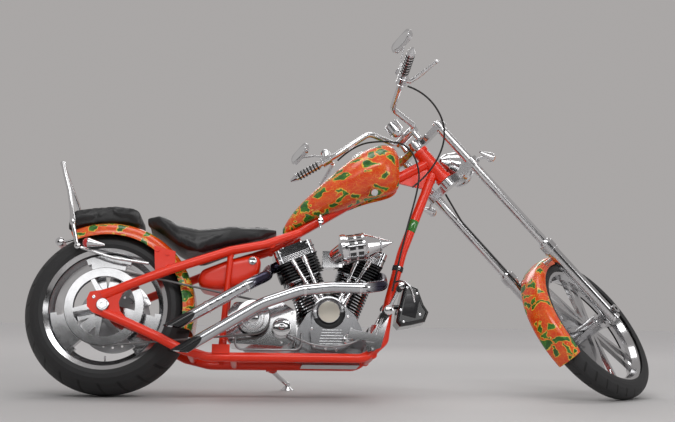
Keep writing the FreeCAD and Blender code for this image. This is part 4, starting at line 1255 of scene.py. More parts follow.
# ------------------------------------------------------------------ fenders
@dataclass
class Fender:
    """A rounded shell round one wheel."""

    name: str
    node: str
    body: Body
    centre: Vector
    half: float
    crown: float
    skirt: float
    start_deg: float
    end_deg: float
    corner: float
    wall: float = 3.4
    steps: int = 72

    def section(self) -> list:
        """Half of the cross-section as (out, radius) pairs from the skirt to the middle.

        Returns:
            The pairs.
        """
        rim = self.crown - self.corner - 3.0
        pts = [(self.half, self.skirt + (rim - self.skirt) * k / 4.0) for k in range(5)]
        pts += [(self.half - self.corner * (1 - math.cos(a)), rim + self.corner * math.sin(a))
                for a in (math.radians(15.0 * k) for k in range(1, 7))]
        flat = self.half - self.corner
        pts += [(flat * (1 - k / 4.0), self.crown - 3.0 + 3.0 * math.sin(math.pi / 2 * k / 4.0))
                for k in range(1, 5)]
        return pts

    def shape(self, angle: float, out: float, radius: float) -> tuple:
        """Hook that narrows or trims the section at an angle; returns (out, radius)."""
        return out, radius

    def drawn_up(self, radius: float, share: float) -> float:
        """A radius on the flat side, moved towards the crown by a share of the skirt.

        Args:
            radius: The radius.
            share: The share, from 0 to 1.

        Returns:
            The new radius.
        """
        rim = self.crown - self.corner - 3.0
        if radius >= rim:
            return radius
        return radius + (rim - radius) * share * 0.94

    def build(self) -> None:
        """Spins the section round the axle, shapes it and thickens it."""
        half = self.section()
        line = half + [(-o, r) for o, r in reversed(half[:-1])]
        SHOP.clear()
        bpy.ops.mesh.primitive_circle_add(vertices=len(line), radius=1.0, fill_type="NOTHING")
        obj = bpy.context.object
        first = math.radians(self.start_deg)
        for v, (out, r) in zip(obj.data.vertices, line):
            v.co = self.centre + Vector((r * math.cos(first), out, r * math.sin(first)))
        bpy.ops.object.mode_set(mode="EDIT")
        mesh = bmesh.from_edit_mesh(obj.data)
        mesh.verts.ensure_lookup_table()
        closing = [e for e in mesh.edges if {v.index for v in e.verts} == {0, len(line) - 1}]
        bmesh.ops.delete(mesh, geom=closing, context="EDGES")
        bmesh.update_edit_mesh(obj.data)
        bpy.ops.mesh.select_all(action="SELECT")
        bpy.ops.mesh.spin(steps=self.steps, angle=math.radians(self.end_deg - self.start_deg),
                          center=tuple(self.centre), axis=tuple(LEFT))
        bpy.ops.mesh.select_all(action="SELECT")
        bpy.ops.mesh.remove_doubles(threshold=0.05)
        bpy.ops.object.mode_set(mode="OBJECT")
        for v in obj.data.vertices:
            rel = v.co - self.centre
            angle = math.degrees(math.atan2(rel.z, rel.x))
            angle = angle + 360.0 if angle < self.start_deg - 5.0 else angle
            out, r = self.shape(angle, rel.y, math.hypot(rel.x, rel.z))
            a = math.radians(angle)
            v.co = self.centre + Vector((r * math.cos(a), out, r * math.sin(a)))
        self.face_out(obj)
        mod = obj.modifiers.new("wall", "SOLIDIFY")
        mod.thickness, mod.offset, mod.use_even_offset = self.wall, -1.0, False
        SHOP.apply(obj, mod)
        SHOP.bevel(obj, 1.2, 2)
        SHOP.seat(obj, self.name, ART, self.body, "tank_paint")
        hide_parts(self.node)

    def face_out(self, obj: bpy.types.Object) -> None:
        """Turns the shell's faces away from the axle.

        Args:
            obj: The shell.
        """
        obj.data.update()
        inward = sum(1 if p.normal.dot(p.center - self.centre) < 0 else -1 for p in obj.data.polygons)
        if inward > 0:
            obj.data.flip_normals()


@dataclass
class RearFender(Fender):
    """Narrow ahead of the wheel between the rails, full width over it, with a rounded tail."""

    narrow: float = 130.0
    narrow_deg: float = 28.0

    def shape(self, angle: float, out: float, radius: float) -> tuple:
        """Narrows the front part and draws up the skirt at both ends.

        Args:
            angle: Degrees round the axle.
            out: Distance from the middle plane.
            radius: Distance from the axle.

        Returns:
            The changed pair.
        """
        k = min(1.0, max(0.0, (angle - self.narrow_deg) / 7.0))
        k = k * k * (3 - 2 * k)
        out *= (self.narrow + (self.half - self.narrow) * k) / self.half
        tail = min(1.0, max(0.0, (self.end_deg - angle) / 20.0))
        lip = math.sqrt(max(0.0, 1.0 - (1.0 - tail) ** 2))
        return out, self.drawn_up(radius, 1.0 - k * lip)


@dataclass
class FrontFender(Fender):
    """Deep sides with both ends rounded off."""

    def shape(self, angle: float, out: float, radius: float) -> tuple:
        """Draws up the skirt towards both ends.

        Args:
            angle: Degrees round the axle.
            out: Distance from the middle plane.
            radius: Distance from the axle.

        Returns:
            The changed pair.
        """
        near = min(self.end_deg - angle, angle - self.start_deg)
        tail = min(1.0, max(0.0, near / 22.0))
        lip = math.sqrt(max(0.0, 1.0 - (1.0 - tail) ** 2))
        return out, self.drawn_up(radius, 1.0 - lip)


@dataclass
class Fenders:
    """Both fenders with their stays."""

    def build(self) -> None:
        """Makes the shells and what holds them."""
        RearFender("rear_fender_shell", "rear_fender", Body.FRAME, REAR_AXLE, 143.0, 347.0, 291.0, -14.0,
                   117.0, 46.0).build()
        FrontFender("front_fender_shell", "front_fender", Body.FORK, FRONT_AXLE, 56.0, 353.0, 304.0, 97.0,
                    222.0, 24.0).build()
        stays = []
        spot = CLAMP + TUBE_DIR * 529.0
        for side in (-1.0, 1.0):
            stays.append(SHOP.turned([(9.5, 0), (9.5, 3), (7.0, 5), (7.0, 34), (9.5, 36), (9.5, 40)],
                                     spot + Vector((0, side * 54.0, 0)), Vector((0, side, 0)), 24))
        SHOP.fit("front_fender_stays", stays, CHROME, Body.FORK)


# ------------------------------------------------------------------ cables across the steering
@dataclass
class Cables:
    """Clutch and throttle cables, laid from the bar ends as the fork stands steered."""

    radius: float = 4.0

    def steered(self, p: Vector) -> Vector:
        """A fork point as it lies at rest, in the frame's own millimetres."""
        return SPACE.main.inverted() @ (SPACE.steer @ p)

    def build(self) -> None:
        """Makes both cables with their ferrules."""
        out = BAR_TIP - BAR_ROOT
        m = BAR_ROOT + out * 0.12 + Vector((36.0, 4.0, 4.0))
        left = self.steered(m)
        right = self.steered(Vector((m.x, -m.y, m.z)))
        clutch = [left, left + Vector((72, -10, 72)), (1120, -20, 1092), (1215, -75, 1056), (1262, -62, 960),
                  (1258, -50, 870), (1190, -32, 640), (1142, -32, 430)]
        throttle = [right, right + Vector((90, 20, -20)), (1372, -165, 1090), (1312, -92, 930),
                    (1226, -84, 864)]
        for name, node, pts, a, b in (("clutch_line", "clutch_cable", clutch, 1, 6),
                                      ("throttle_line", "throttle_cable", throttle, 1, 4)):
            pts = [Vector(p) for p in pts]
            obj = SHOP.wire(pts, self.radius * 0.95, 12)
            obj = SHOP.seat(obj, name, RUBBER, Body.FRAME, "hose", ride=False)
            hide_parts(node)
            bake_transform(obj)


# ------------------------------------------------------------------ trim
@dataclass
class Fasteners:
    """Cap screws, modelled once and copied."""

    radius: float = 5.0

    def screw(self, at: Vector, along: Vector, radius: float = 0.0) -> bpy.types.Object:
        """A cap screw whose head stands on a surface at a point.

        Args:
            at: The point.
            along: The way the head faces.
            radius: The radius of the head.

        Returns:
            The screw.
        """
        r = radius or self.radius
        h = r * 0.95
        return SHOP.turned([(r * 1.25, -0.6), (r * 1.25, 0.5), (r, 0.7), (r, h * 0.85), (r * 0.86, h),
                            (r * 0.52, h), (r * 0.46, h * 0.45), (0.2, h * 0.42)], at, along, 16)

    def row(self, spots: Sequence[Vector], along: Vector, radius: float = 0.0) -> list:
        """One screw copied to each spot.

        Args:
            spots: The points.
            along: The way the heads face.
            radius: Their radius, or 0 for the usual one.

        Returns:
            The screws.
        """
        first = self.screw(spots[0], along, radius)
        return [first] + [SHOP.copy(first, Matrix.Translation(Vector(p) - Vector(spots[0])))
                          for p in spots[1:]]


SCREWS = Fasteners()


@dataclass
class EngineTrim:
    """Covers, screws, badges left blank and bright edges on the V-twin."""

    crank: Vector = field(default_factory=CRANK.copy)
    vee_deg: float = VEE_DEG
    cam_disc: Vector = field(default_factory=lambda: Vector((872.0, -142.0, 322.0)))
    gear_cap: Vector = field(default_factory=lambda: Vector((572.0, -186.0, 288.0)))
    cleaner: Vector = field(default_factory=lambda: Vector((915.0, -196.0, 560.0)))

    def build(self) -> None:
        """Makes every trim piece of the engine."""
        self.cam_cover()
        self.rockers()
        self.gearbox_cap()
        self.cleaner_windows()
        self.pushrod_collars()
        self.primary_ribs()

    def cam_cover(self) -> None:
        """The blank disc in a dark ring, and the screws round the cover."""
        plate = SHOP.turned([(42.0, -3.0), (42.0, 0.6), (40.0, 2.0), (6.0, 2.6), (0.3, 2.6)], self.cam_disc,
                            RIGHT, 64)
        SHOP.fit("cam_disc", plate, CREAM, slot="polished")
        edge = SHOP.turned([(41.4, -3.0), (43.8, -2.0), (43.8, 0.8), (42.2, 1.8), (41.4, 0.8)], self.cam_disc,
                           RIGHT, 64)
        SHOP.fit("cam_edge", edge, CHROME)
        seat = self.cam_disc + LEFT * 14.0
        ring = SHOP.turned([(43.2, -1.0), (66.0, -1.0), (66.0, 1.4), (63.0, 3.0), (46.0, 3.0), (43.2, 1.4)],
                           seat, RIGHT, 64)
        # cast alloy above a tilted plane and black enamel below it, so the ring is darker towards the bottom
        cast_over_black = ZonedFinish("cam ring two-tone", CAST.color, 1.0, 0.2, 0.1, 40.0, 0.0, other=BLACK_METAL,
                               point=tuple(SPACE.main @ (self.cam_disc + Vector((0.0, 0.0, -12.0)))),
                               normal=tuple((SPACE.main.to_3x3() @ Vector((0.25, 0.0, -1.0))).normalized()),
                               blur=0.001)
        SHOP.fit("cam_ring", ring, cast_over_black, slot="engine_black")
        outline = [(816, 190), (860, 178), (902, 174), (950, 202), (962, 256), (948, 306), (926, 342),
                   (818, 326), (806, 256)]
        spots = [Vector((x, -128.0, z)) for x, z in outline]
        SHOP.fit("cam_screws", SCREWS.row(spots, RIGHT, 4.6), CHROME)
        points = SHOP.turned([(19.0, -1.0), (19.0, 1.2), (17.0, 3.0), (10.0, 3.6), (4.0, 5.2), (0.3, 5.6)],
                             Vector((946.0, -140.0, 214.0)), RIGHT, 32)
        SHOP.fit("timing_cap", points, CHROME)
        ribs = [SHOP.block(Vector((884.0, -129.2, 196.0 + 11.0 * i)), (104.0 - 5.0 * i, 3.0, 3.4), AHEAD, UP,
                           1.0) for i in range(6)]
        SHOP.fit("cam_ribs", ribs, SATIN)

    def rockers(self) -> None:
        """Split lines, ribs, screws and a raised panel on each rocker box."""
        pieces, screws, ribs = [], [], []
        for lean in (-self.vee_deg, self.vee_deg):
            axis, fwd = leaned(lean)
            for t, grow in ((353.0, 170.4), (384.0, 169.6)):
                pieces.append(SHOP.block(self.crank + axis * t, (grow - 1.0, grow - 1.0, 3.0), fwd, axis,
                                         1.2))
            for t in (358.5, 364.5, 370.5, 376.5):
                ribs.append(SHOP.block(self.crank + axis * t + RIGHT * 84.6, (116.0, 3.4, 2.8), fwd, axis,
                                       1.0))
            mid = self.crank + axis * 416.0
            pieces.append(SHOP.block(mid, (96.0, 124.0, 3.0), fwd, axis, 1.2))
            for i in (-1, 1):
                for j in (-1, 0, 1):
                    spot = self.crank + axis * 412.0 + fwd * (72.0 * i) + LEFT * (60.0 * j)
                    screws.append(SCREWS.screw(spot, axis, 5.0))
                spot = self.crank + axis * 399.0 + fwd * (60.0 * i) + RIGHT * 84.0
                screws.append(SCREWS.screw(spot, RIGHT, 4.2))
                spot = self.crank + axis * 367.0 + fwd * (68.0 * i) + RIGHT * 84.0
                screws.append(SCREWS.screw(spot, RIGHT, 4.2))
        SHOP.fit("rocker_joints", pieces, BLACK_METAL)
        SHOP.fit("rocker_screws", screws, CHROME)
        SHOP.fit("rocker_ribs", ribs, POLISHED)

    def gearbox_cap(self) -> None:
        """The round cover over the belt pulley with its rings and screws."""
        cap = SHOP.turned([(45.0, -1.0), (45.0, 2.0), (42.0, 5.0), (34.0, 5.0), (33.0, 2.6), (24.0, 2.6),
                           (23.0, 6.0), (18.0, 7.6), (0.3, 8.0)], self.gear_cap, RIGHT, 48)
        screw = SCREWS.screw(self.gear_cap + Vector((29.0, -2.6, 0.0)), RIGHT, 3.4)
        pieces = [cap] + SHOP.ring(screw, self.gear_cap, LEFT, 6)
        SHOP.fit("gearbox_cap", pieces, CHROME, slot="chrome")
        side = SHOP.turned([(36.0, -1.0), (36.0, 2.0), (33.0, 4.0), (12.0, 4.6), (9.0, 9.0), (0.3, 10.0)],
                           Vector((686.0, -128.0, 262.0)), RIGHT, 40)
        SHOP.fit("starter_cap", side, CHROME)
        outline = ((500, 350), (690, 348), (728, 322), (728, 226), (688, 206), (500, 214))
        spots = [Vector((x, -96.0, z)) for x, z in outline]
        SHOP.fit("gearbox_screws", SCREWS.row(spots, RIGHT, 4.6), CHROME)

    def cleaner_windows(self) -> None:
        """Gloss black plates in the windows as painted shade for the dark inside of the openings, and bright
        rings on the spike air cleaner.
        """
        along = Vector((0.985, -0.03, 0.17)).normalized()
        out = along.cross(LEFT).normalized()
        windows = []
        for d, long in ((41.0, 24.0), (73.0, 22.0)):
            slot = SHOP.block(self.cleaner + along * d + out * 54.0, (long, 15.0, 2.6), along, out, 1.0)
            windows += SHOP.ring(slot, self.cleaner, along, 14)
        # the gloss black plates are painted shade standing in for the openings in the cover
        SHOP.fit("cleaner_windows", windows, GLOSS_BLACK)
        rings = [SHOP.turned([(54.0, d), (57.5, d + 1.2), (57.5, d + 3.6), (54.0, d + 4.8)], self.cleaner,
                             along, 48) for d in (25.0, 87.0)]
        rings.append(SHOP.turned([(26.0, 156.0), (30.0, 157.0), (28.6, 161.0), (24.0, 162.0)], self.cleaner,
                                 along, 40))
        SHOP.fit("cleaner_rings", rings, CHROME)

    def pushrod_collars(self) -> None:
        """Turned collars on the four tubes."""
        pieces = []
        for lean, feet in ((-self.vee_deg, ((838, 366), (856, 370))),
                           (self.vee_deg, ((912, 370), (930, 364)))):
            axis, fwd = leaned(lean)
            for i, (fx, fz) in enumerate(feet):
                top = self.crank + axis * 350.0 + fwd * (48.0 * i - 24.0) + RIGHT * 92.0
                foot = Vector((fx, -104.0, fz - 8.0))
                d = (top - foot).normalized()
                for t in (34.0, (top - foot).length * 0.5, (top - foot).length - 36.0):
                    pieces.append(SHOP.turned([(8.2, -4.0), (10.6, -3.0), (11.2, 0.0), (10.6, 3.0),
                                               (8.2, 4.0)], foot + d * t, d, 24))
        SHOP.fit("pushrod_collars", pieces, CHROME)

    def primary_ribs(self) -> None:
        """Rings and screws on the left cover."""
        hub, tail = Vector((883.0, 152.0, 240.0)), Vector((612.0, 152.0, 268.0))
        pieces = [SHOP.turned([(54.0, 7.6), (54.0, 9.6), (48.0, 11.0), (20.0, 11.0), (16.0, 14.0),
                               (0.3, 14.6)],
                              hub, LEFT, 48),
                  SHOP.turned([(64.0, 7.6), (64.0, 9.6), (58.0, 11.0), (26.0, 11.0), (22.0, 14.0),
                               (0.3, 14.6)],
                              tail, LEFT, 48)]
        mid = (hub + tail) / 2
        along = (tail - hub).normalized()
        for k in range(5):
            pieces.append(SHOP.block(mid + Vector((0, 0.6, -28.0 + 14.0 * k)), (118.0, 4.0, 3.0), along,
                                     LEFT.cross(along), 1.0))
        pieces += SCREWS.row([hub + Vector((92 * math.cos(a), -26.0, 92 * math.sin(a)))
                              for a in (math.radians(v) for v in (-80, -40, 0, 40, 80))], LEFT, 5.0)
        SHOP.fit("primary_trim", pieces, CHROME)


@dataclass
class WheelTrim:
    """Teeth, screws, hub rings and valve stems on both wheels."""

    def build(self) -> None:
        """Makes the trim of both wheels."""
        self.rear()
        self.front()

    def rear(self) -> None:
        """Pulley teeth, pulley screws, disc screws and the valve."""
        tooth = SHOP.block(REAR_AXLE + Vector((150.2, -147.0, 0.0)), (2.0, 15.0, 3.4), AHEAD, UP, 0.5, 1)
        teeth = SHOP.ring(tooth, REAR_AXLE, LEFT, 70)
        SHOP.fit("pulley_teeth", teeth, DISC, Body.REAR_WHEEL)
        screw = SCREWS.screw(REAR_AXLE + Vector((27.0, -161.5, 0.0)), RIGHT, 3.6)
        pieces = SHOP.ring(screw, REAR_AXLE, LEFT, 5)
        screw = SCREWS.screw(REAR_AXLE + Vector((52.0, 142.0, 0.0)), LEFT, 3.4)
        pieces += SHOP.ring(screw, REAR_AXLE, LEFT, 5)
        valve = self.valve(REAR_AXLE + Vector((0.0, -40.0, -214.0)), Vector((0.0, -0.25, 1.0)), 37)
        SHOP.fit("rear_wheel_trim", pieces + [valve], CHROME, Body.REAR_WHEEL)

    def valve(self, at: Vector, along: Vector, high: int) -> bpy.types.Object:
        """A valve stem with its cap.

        Args:
            at: Its foot.
            along: The way it stands.
            high: Its height.

        Returns:
            The stem.
        """
        outline = [(5.0, 0), (5.0, 8), (3.2, 10), (3.2, 26), (4.2, 27), (4.2, high - 1), (0.3, high)]
        return SHOP.turned(outline, at, along, 16)

    def front(self) -> None:
        """Disc screws, hub rings and the valve."""
        screw = SCREWS.screw(FRONT_AXLE + Vector((42.0, 67.0, 0.0)), LEFT, 3.4)
        pieces = SHOP.ring(screw, FRONT_AXLE, LEFT, 5)
        for y in (-61.0, -52.0):
            pieces.append(SHOP.turned([(33.2, -2.0), (34.8, -1.0), (34.8, 1.0), (33.2, 2.0)],
                                      FRONT_AXLE + Vector((0.0, y, 0.0)), RIGHT, 40))
        valve = self.valve(FRONT_AXLE + Vector((0.0, -8.0, -250.0)), Vector((0.0, -0.2, 1.0)), 35)
        SHOP.fit("front_wheel_trim", pieces + [valve], CHROME, Body.FRONT_WHEEL)


@dataclass
class ForkTrim:
    """Clamp screws, dust caps, headlight, signals, grips, mirrors and dial."""

    lamp: Vector = field(default_factory=lambda: SPACE.head + STEER_UP * 50.0 + STEER_FWD * 158.0)
    half: float = 119.0
    bar_a: Vector = field(default_factory=BAR_ROOT.copy)
    bar_b: Vector = field(default_factory=BAR_TIP.copy)

    def build(self) -> None:
        """Makes every trim piece of the fork."""
        self.legs()
        self.headlight()
        self.signals()
        self.grips()
        self.mirror_glass()
        self.dial()

    def legs(self) -> None:
        """Cap nuts, slider rings, dust caps and clamp screws."""
        pieces = []
        for side in (-1.0, 1.0):
            y = side * self.half
            top = CLAMP + TUBE_DIR * -232.0 + LEFT * y
            pieces.append(SHOP.turned([(17.0, -1.0), (17.0, 3.0), (14.0, 5.5), (8.0, 6.4), (8.0, 9.4),
                                       (0.3, 10.0)], top, -TUBE_DIR, 32))
            start = CLAMP + TUBE_DIR * 462.0 + LEFT * y
            for t in (4.0, 40.0):
                pieces.append(SHOP.turned([(32.0, -3.0), (33.4, -2.0), (33.4, 2.0), (32.0, 3.0)],
                                          start + TUBE_DIR * t, TUBE_DIR, 40))
            pieces.append(SHOP.turned([(21.0, -12.0), (25.0, -10.0), (28.0, -2.0), (28.0, 0.5)], start,
                                      TUBE_DIR, 40))
            foot = CLAMP + TUBE_DIR * 884.0 + LEFT * y
            pieces.append(SHOP.turned([(27.2, -4.0), (28.4, -3.0), (28.4, 3.0), (27.2, 4.0)], foot, TUBE_DIR,
                                      40))
            for level in (0.0, 212.0):
                at = SPACE.head + STEER_UP * level + STEER_FWD * (98.0 if level == 0.0 else 89.0)
                pieces.append(SCREWS.screw(at + LEFT * (y - side * 36.0), STEER_FWD, 5.0))
        SHOP.fit("fork_trim", pieces, CHROME, Body.FORK)

    def headlight(self) -> None:
        """Lens and rim of the teardrop headlight."""
        lens = SHOP.turned([(62.0, 59.0), (62.0, 62.0), (56.0, 67.0), (40.0, 72.0), (20.0, 74.5),
                            (0.3, 75.2)], self.lamp, AHEAD, 48)
        SHOP.fit("headlight_lens", lens, GLASS, Body.FORK)
        rim = SHOP.turned([(72.6, 47.0), (74.0, 49.0), (74.0, 57.0), (70.0, 62.0), (63.0, 63.0)], self.lamp,
                          AHEAD, 48)
        SHOP.fit("headlight_rim", rim, CHROME, Body.FORK)

    def signals(self) -> None:
        """Amber lenses and rims on the bullet signals."""
        lenses, rims = [], []
        for side in (-1.0, 1.0):
            p = Vector((1482.0, 192.0 * side, 940.0))
            lenses.append(SHOP.turned([(16.8, 10.6), (16.0, 16.0), (11.0, 20.0), (0.3, 21.8)], p, AHEAD, 32))
            rims.append(SHOP.turned([(19.6, 2.0), (21.2, 4.0), (20.4, 9.0), (17.0, 11.4)], p, AHEAD, 32))
        SHOP.fit("front_signal_lenses", lenses, AMBER, Body.FORK)
        SHOP.fit("front_signal_rims", rims, CHROME, Body.FORK)

    def grips(self) -> None:
        """Rubber bands in the chrome grips, and levers with ball ends."""
        d = self.bar_b - self.bar_a
        length = d.length
        d.normalize()
        bands = []
        for k in range(7):
            t = length * 0.46 + k * length * 0.075
            bands.append(SHOP.turned([(16.9, 0.0), (18.0, 0.8), (18.0, 6.6), (16.9, 7.4)], self.bar_a + d * t,
                                     d, 32))
        SHOP.fit("grip_bands", SHOP.mirrored(bands), RUBBER, Body.FORK)
        levers = []
        root = self.bar_a + d * (length * 0.25) + Vector((40.0, 8.0, 6.0))
        tip = Vector((1036.0, 392.0, 1092.0))
        levers.append(SHOP.wire([root, root.lerp(tip, 0.35) + Vector((8, 0, 0)), root.lerp(tip, 0.7), tip],
                                7.6, 12, taper=[1.3, 1.1, 0.95, 0.8]))
        perch = self.bar_a + d * (length * 0.25)
        levers.append(SHOP.turned([(19.6, 50.5), (19.6, 53.0), (17.0, 55.4), (0.3, 56.0)], perch,
                                  Vector((0.08, 0.0, 0.997)), 32))
        for k in (0.16, 0.34):
            levers.append(SHOP.turned([(20.8, -3.0), (22.6, -2.0), (22.6, 2.0), (20.8, 3.0)],
                                      self.bar_a + d * (length * k), d, 32))
        SHOP.fit("levers", SHOP.mirrored(levers), CHROME, Body.FORK)

    def mirror_glass(self) -> None:
        """The glass on the rider's side of each oval mirror."""
        pieces = []
        for side in (-1.0, 1.0):
            SHOP.clear()
            at = Vector((902.6, 352.0 * side, 1188.0))
            bpy.ops.mesh.primitive_circle_add(vertices=48, radius=1.0, fill_type="NGON", location=at,
                                              rotation=(0.0, -math.pi / 2, 0.0))
            obj = bpy.context.object
            obj.scale = (22.0, 50.0, 1.0)
            bpy.ops.object.transform_apply(location=True, rotation=True, scale=True)
            bpy.ops.object.mode_set(mode="EDIT")
            bpy.ops.mesh.select_all(action="SELECT")
            bpy.ops.mesh.extrude_region_move(TRANSFORM_OT_translate={"value": (-1.2, 0.0, 0.0)})
            bpy.ops.mesh.select_all(action="SELECT")
            bpy.ops.mesh.normals_make_consistent(inside=False)
            bpy.ops.object.mode_set(mode="OBJECT")
            SHOP.bevel(obj, 0.4, 1)
            pieces.append(obj)
        SHOP.fit("mirror_glass", pieces, MIRROR, Body.FORK)

    def dial(self) -> None:
        """Dial face, needle and ticks on the speedometer."""
        cup = Vector((1150.0, 0.0, 1136.0))
        tilt = Vector((-0.55, 0.0, 0.83)).normalized()
        face = SHOP.turned([(29.0, 19.6), (29.0, 20.8), (0.3, 20.9)], cup, tilt, 48)
        SHOP.fit("dial_face", face, DIAL, Body.FORK)
        rim = SHOP.turned([(33.2, 16.0), (34.6, 17.0), (34.6, 21.0), (32.0, 23.0), (29.2, 22.0),
                           (29.2, 20.4)], cup, tilt, 48)
        SHOP.fit("dial_rim", rim, CHROME, Body.FORK)
        across = tilt.cross(LEFT).normalized()
        needle = SHOP.block(cup + tilt * 21.6 + across * 8.0, (20.0, 1.4, 0.8), across, tilt, 0.3, 1)
        tick = SHOP.block(cup + tilt * 21.3 + across * 25.0, (4.0, 1.0, 0.5), across, tilt, 0.2, 1)
        marks = SHOP.ring(tick, cup, tilt, 24)
        SHOP.fit("dial_marks", [needle] + marks, GLOSS_BLACK, Body.FORK)


@dataclass
class ChassisTrim:
    """Welds, nuts, clamps, pegs, and the trim of the pod and the calipers."""

    foot_peg: Vector = field(default_factory=lambda: Vector((1088.0, 0.0, 306.0)))
    toe_peg: Vector = field(default_factory=lambda: Vector((1142.0, 0.0, 404.0)))
    band_pitch: float = 12.6
    piston_circle: float = 133.0

    def build(self) -> None:
        """Makes every trim piece of the chassis."""
        self.welds()
        self.axle_nuts()
        self.down_tube()
        self.pegs()
        self.pod()
        self.calipers()
        self.stand_nut()

    def welds(self) -> None:
        """Weld beads round the tube ends, painted with the frame."""
        spots = [((1318, 0, 920), (0.37, 0, 0.93), 20.6), ((1300, 0, 994), (0.87, 0, 0.49), 23.6),
                 ((1124, 0, 352), (0.21, 0, 0.98), 20.6), ((720, 0, 658), (0.85, 0, 0.52), 23.6)]
        pieces = []
        for at, along, r in spots:
            pieces.append(SHOP.turned([(r - 1.0, -5.0), (r + 1.6, -3.0), (r + 2.2, 0.0), (r + 1.6, 3.0),
                                       (r - 1.0, 5.0)], Vector(at), Vector(along), 36))
        for side in (-1, 1):
            for at, along, r in (((478, 112, 548), (0.07, 0.01, 1.0), 12.4),
                                 ((447, 136, 152), (0.1, -0.5, -0.8), 12.4),
                                 ((330, 160, 160), (0, 1, 0), 14.4), ((1046, 132, 156), (0, 1, 0), 14.4),
                                 ((500, 134, 139), (0, 1, 0), 14.4), ((640, 76, 608), (0, 1, 0), 16.4)):
                p, d = Vector(at), Vector(along)
                pieces.append(SHOP.turned([(r - 1.0, -4.0), (r + 1.4, -2.4), (r + 1.8, 0.0), (r + 1.4, 2.4),
                                           (r - 1.0, 4.0)], Vector((p.x, p.y * side, p.z)),
                                          Vector((d.x, d.y * side, d.z)), 28))
        SHOP.fit("weld_beads", pieces, PAINT, slot="frame_paint")

    def axle_nuts(self) -> None:
        """Hollow hexagon nuts, washers and plate screws at the rear axle."""
        pieces = []
        for side in (-1.0, 1.0):
            out = Vector((0.0, side, 0.0))
            at = REAR_AXLE + out * 205.0
            pieces.append(SHOP.turned([(19.0, -6.0), (19.0, 2.0), (17.6, 3.4), (9.2, 3.4), (9.2, -2.0)], at,
                                      out, 6))
            pieces.append(SHOP.turned([(21.2, -8.0), (24.0, -7.4), (24.0, -5.6), (21.0, -5.2)], at, out, 40))
            for x, z in ((-36.0, 358.0), (58.0, 388.0), (60.0, 276.0)):
                pieces.append(SCREWS.screw(Vector((x, side * 190.0, z)), out, 5.5))
        SHOP.fit("axle_nuts", pieces, CHROME)

    def down_tube(self) -> None:
        """A painted band, a clamp with its bright clip, the pod's strap and a braided line."""
        low, high = Vector((1190.0, 0.0, 600.0)), Vector((1330.0, 0.0, 950.0))
        along = (high - low).normalized()
        band = SHOP.turned([(20.2, -26.0), (20.8, -25.0), (20.8, 25.0), (20.2, 26.0)], low.lerp(high, 0.33),
                           along, 40)
        SHOP.fit("green_band", band, GREEN, slot="tank_paint")
        spot, lean = Vector((1170.5, 0.0, 530.0)), Vector((58.0, 0.0, 208.0)).normalized()
        clamp = SHOP.turned([(20.2, -11.0), (23.0, -10.0), (23.0, 10.0), (20.2, 11.0)], spot, lean, 40)
        SHOP.fit("hose_clamp", clamp, RUBBER)
        clip = SHOP.block(spot + RIGHT * 23.5, (14.0, 6.0, 16.0), lean.cross(LEFT), lean, 1.6)
        screw = SCREWS.screw(spot + RIGHT * 26.5, RIGHT, 3.2)
        SHOP.fit("clamp_clip", [clip, screw], CHROME)
        strap = SHOP.wire([(1150, -14, 470), (1178, -52, 474), (1206, -66, 452), (1222, -66, 420),
                           (1228, -58, 380)], 4.6, 12)
        SHOP.fit("pod_strap", strap, CHROME)
        route = [(700, -122, 236), (742, -150, 216), (800, -170, 188), (880, -180, 178), (950, -182, 190),
                 (1000, -182, 216), (1030, -180, 232)]
        line = SHOP.wire(route, 3.6, 12)
        SHOP.fit("brake_line", line, BRAID, slot="hose")

    def pegs(self) -> None:
        """Rubber bands on the foot pegs and toe pegs, with end caps."""
        bands, caps = [], []
        for k in range(8):
            at = self.foot_peg + RIGHT * (184.0 + self.band_pitch * k)
            bands.append(SHOP.turned([(15.0, 0.0), (17.2, 1.0), (17.2, 8.0), (15.0, 9.0)], at, RIGHT, 32))
        for k in range(5):
            at = self.toe_peg + RIGHT * (208.0 + self.band_pitch * k)
            bands.append(SHOP.turned([(11.0, 0.0), (12.8, 1.0), (12.8, 7.0), (11.0, 8.0)], at, RIGHT, 28))
        caps.append(SHOP.turned([(18.2, 0.0), (18.2, 2.0), (14.0, 5.0), (0.3, 6.4)],
                                self.foot_peg + RIGHT * 300.0, RIGHT, 32))
        caps.append(SHOP.turned([(11.4, -1.0), (12.2, 0.0), (11.0, 4.0), (0.3, 6.0)],
                                self.toe_peg + RIGHT * 278.0, RIGHT, 28))
        for x, z in ((1040.0, 176.0), (1074.0, 262.0), (1090.0, 306.0)):
            caps.append(SCREWS.screw(Vector((x, -176.0, z)), RIGHT, 5.5))
        SHOP.fit("peg_rubbers", SHOP.mirrored(bands), RUBBER)
        SHOP.fit("peg_caps", SHOP.mirrored(caps), CHROME)

    def pod(self) -> None:
        """Screws and a raised panel on the black pod."""
        outline = ((1200, 440), (1240, 416), (1250, 330), (1182, 300), (1172, 348))
        screws = SCREWS.row([Vector((x, -60.0, z)) for x, z in outline], RIGHT, 4.2)
        SHOP.fit("pod_screws", screws, CHROME)
        panel = SHOP.block(Vector((1214.0, -60.6, 366.0)), (58.0, 3.2, 92.0), Vector((1.0, 0.0, -0.25)),
                           Vector((0.25, 0.0, 1.0)), 1.4, 3)
        SHOP.fit("pod_panel", panel, BLACK_METAL, slot="black")

    def calipers(self) -> None:
        """Piston caps on both brake calipers."""
        cap = [(15.0, -1.0), (15.0, 2.0), (12.0, 3.6), (0.3, 4.0)]
        rear, front = [], []
        for k in range(2):
            for pieces, axle, out, deg in ((rear, REAR_AXLE, 157.0, 30.0 + 20.0 * k),
                                           (front, FRONT_AXLE, 90.0, 148.0 + 18.0 * k)):
                x, z = (self.piston_circle * f(math.radians(deg)) for f in (math.cos, math.sin))
                pieces.append(SHOP.turned(cap, axle + Vector((x, out, z)), LEFT, 32))
        SHOP.fit("rear_caliper_caps", rear, SATIN)
        SHOP.fit("front_caliper_caps", front, SATIN, Body.FORK)

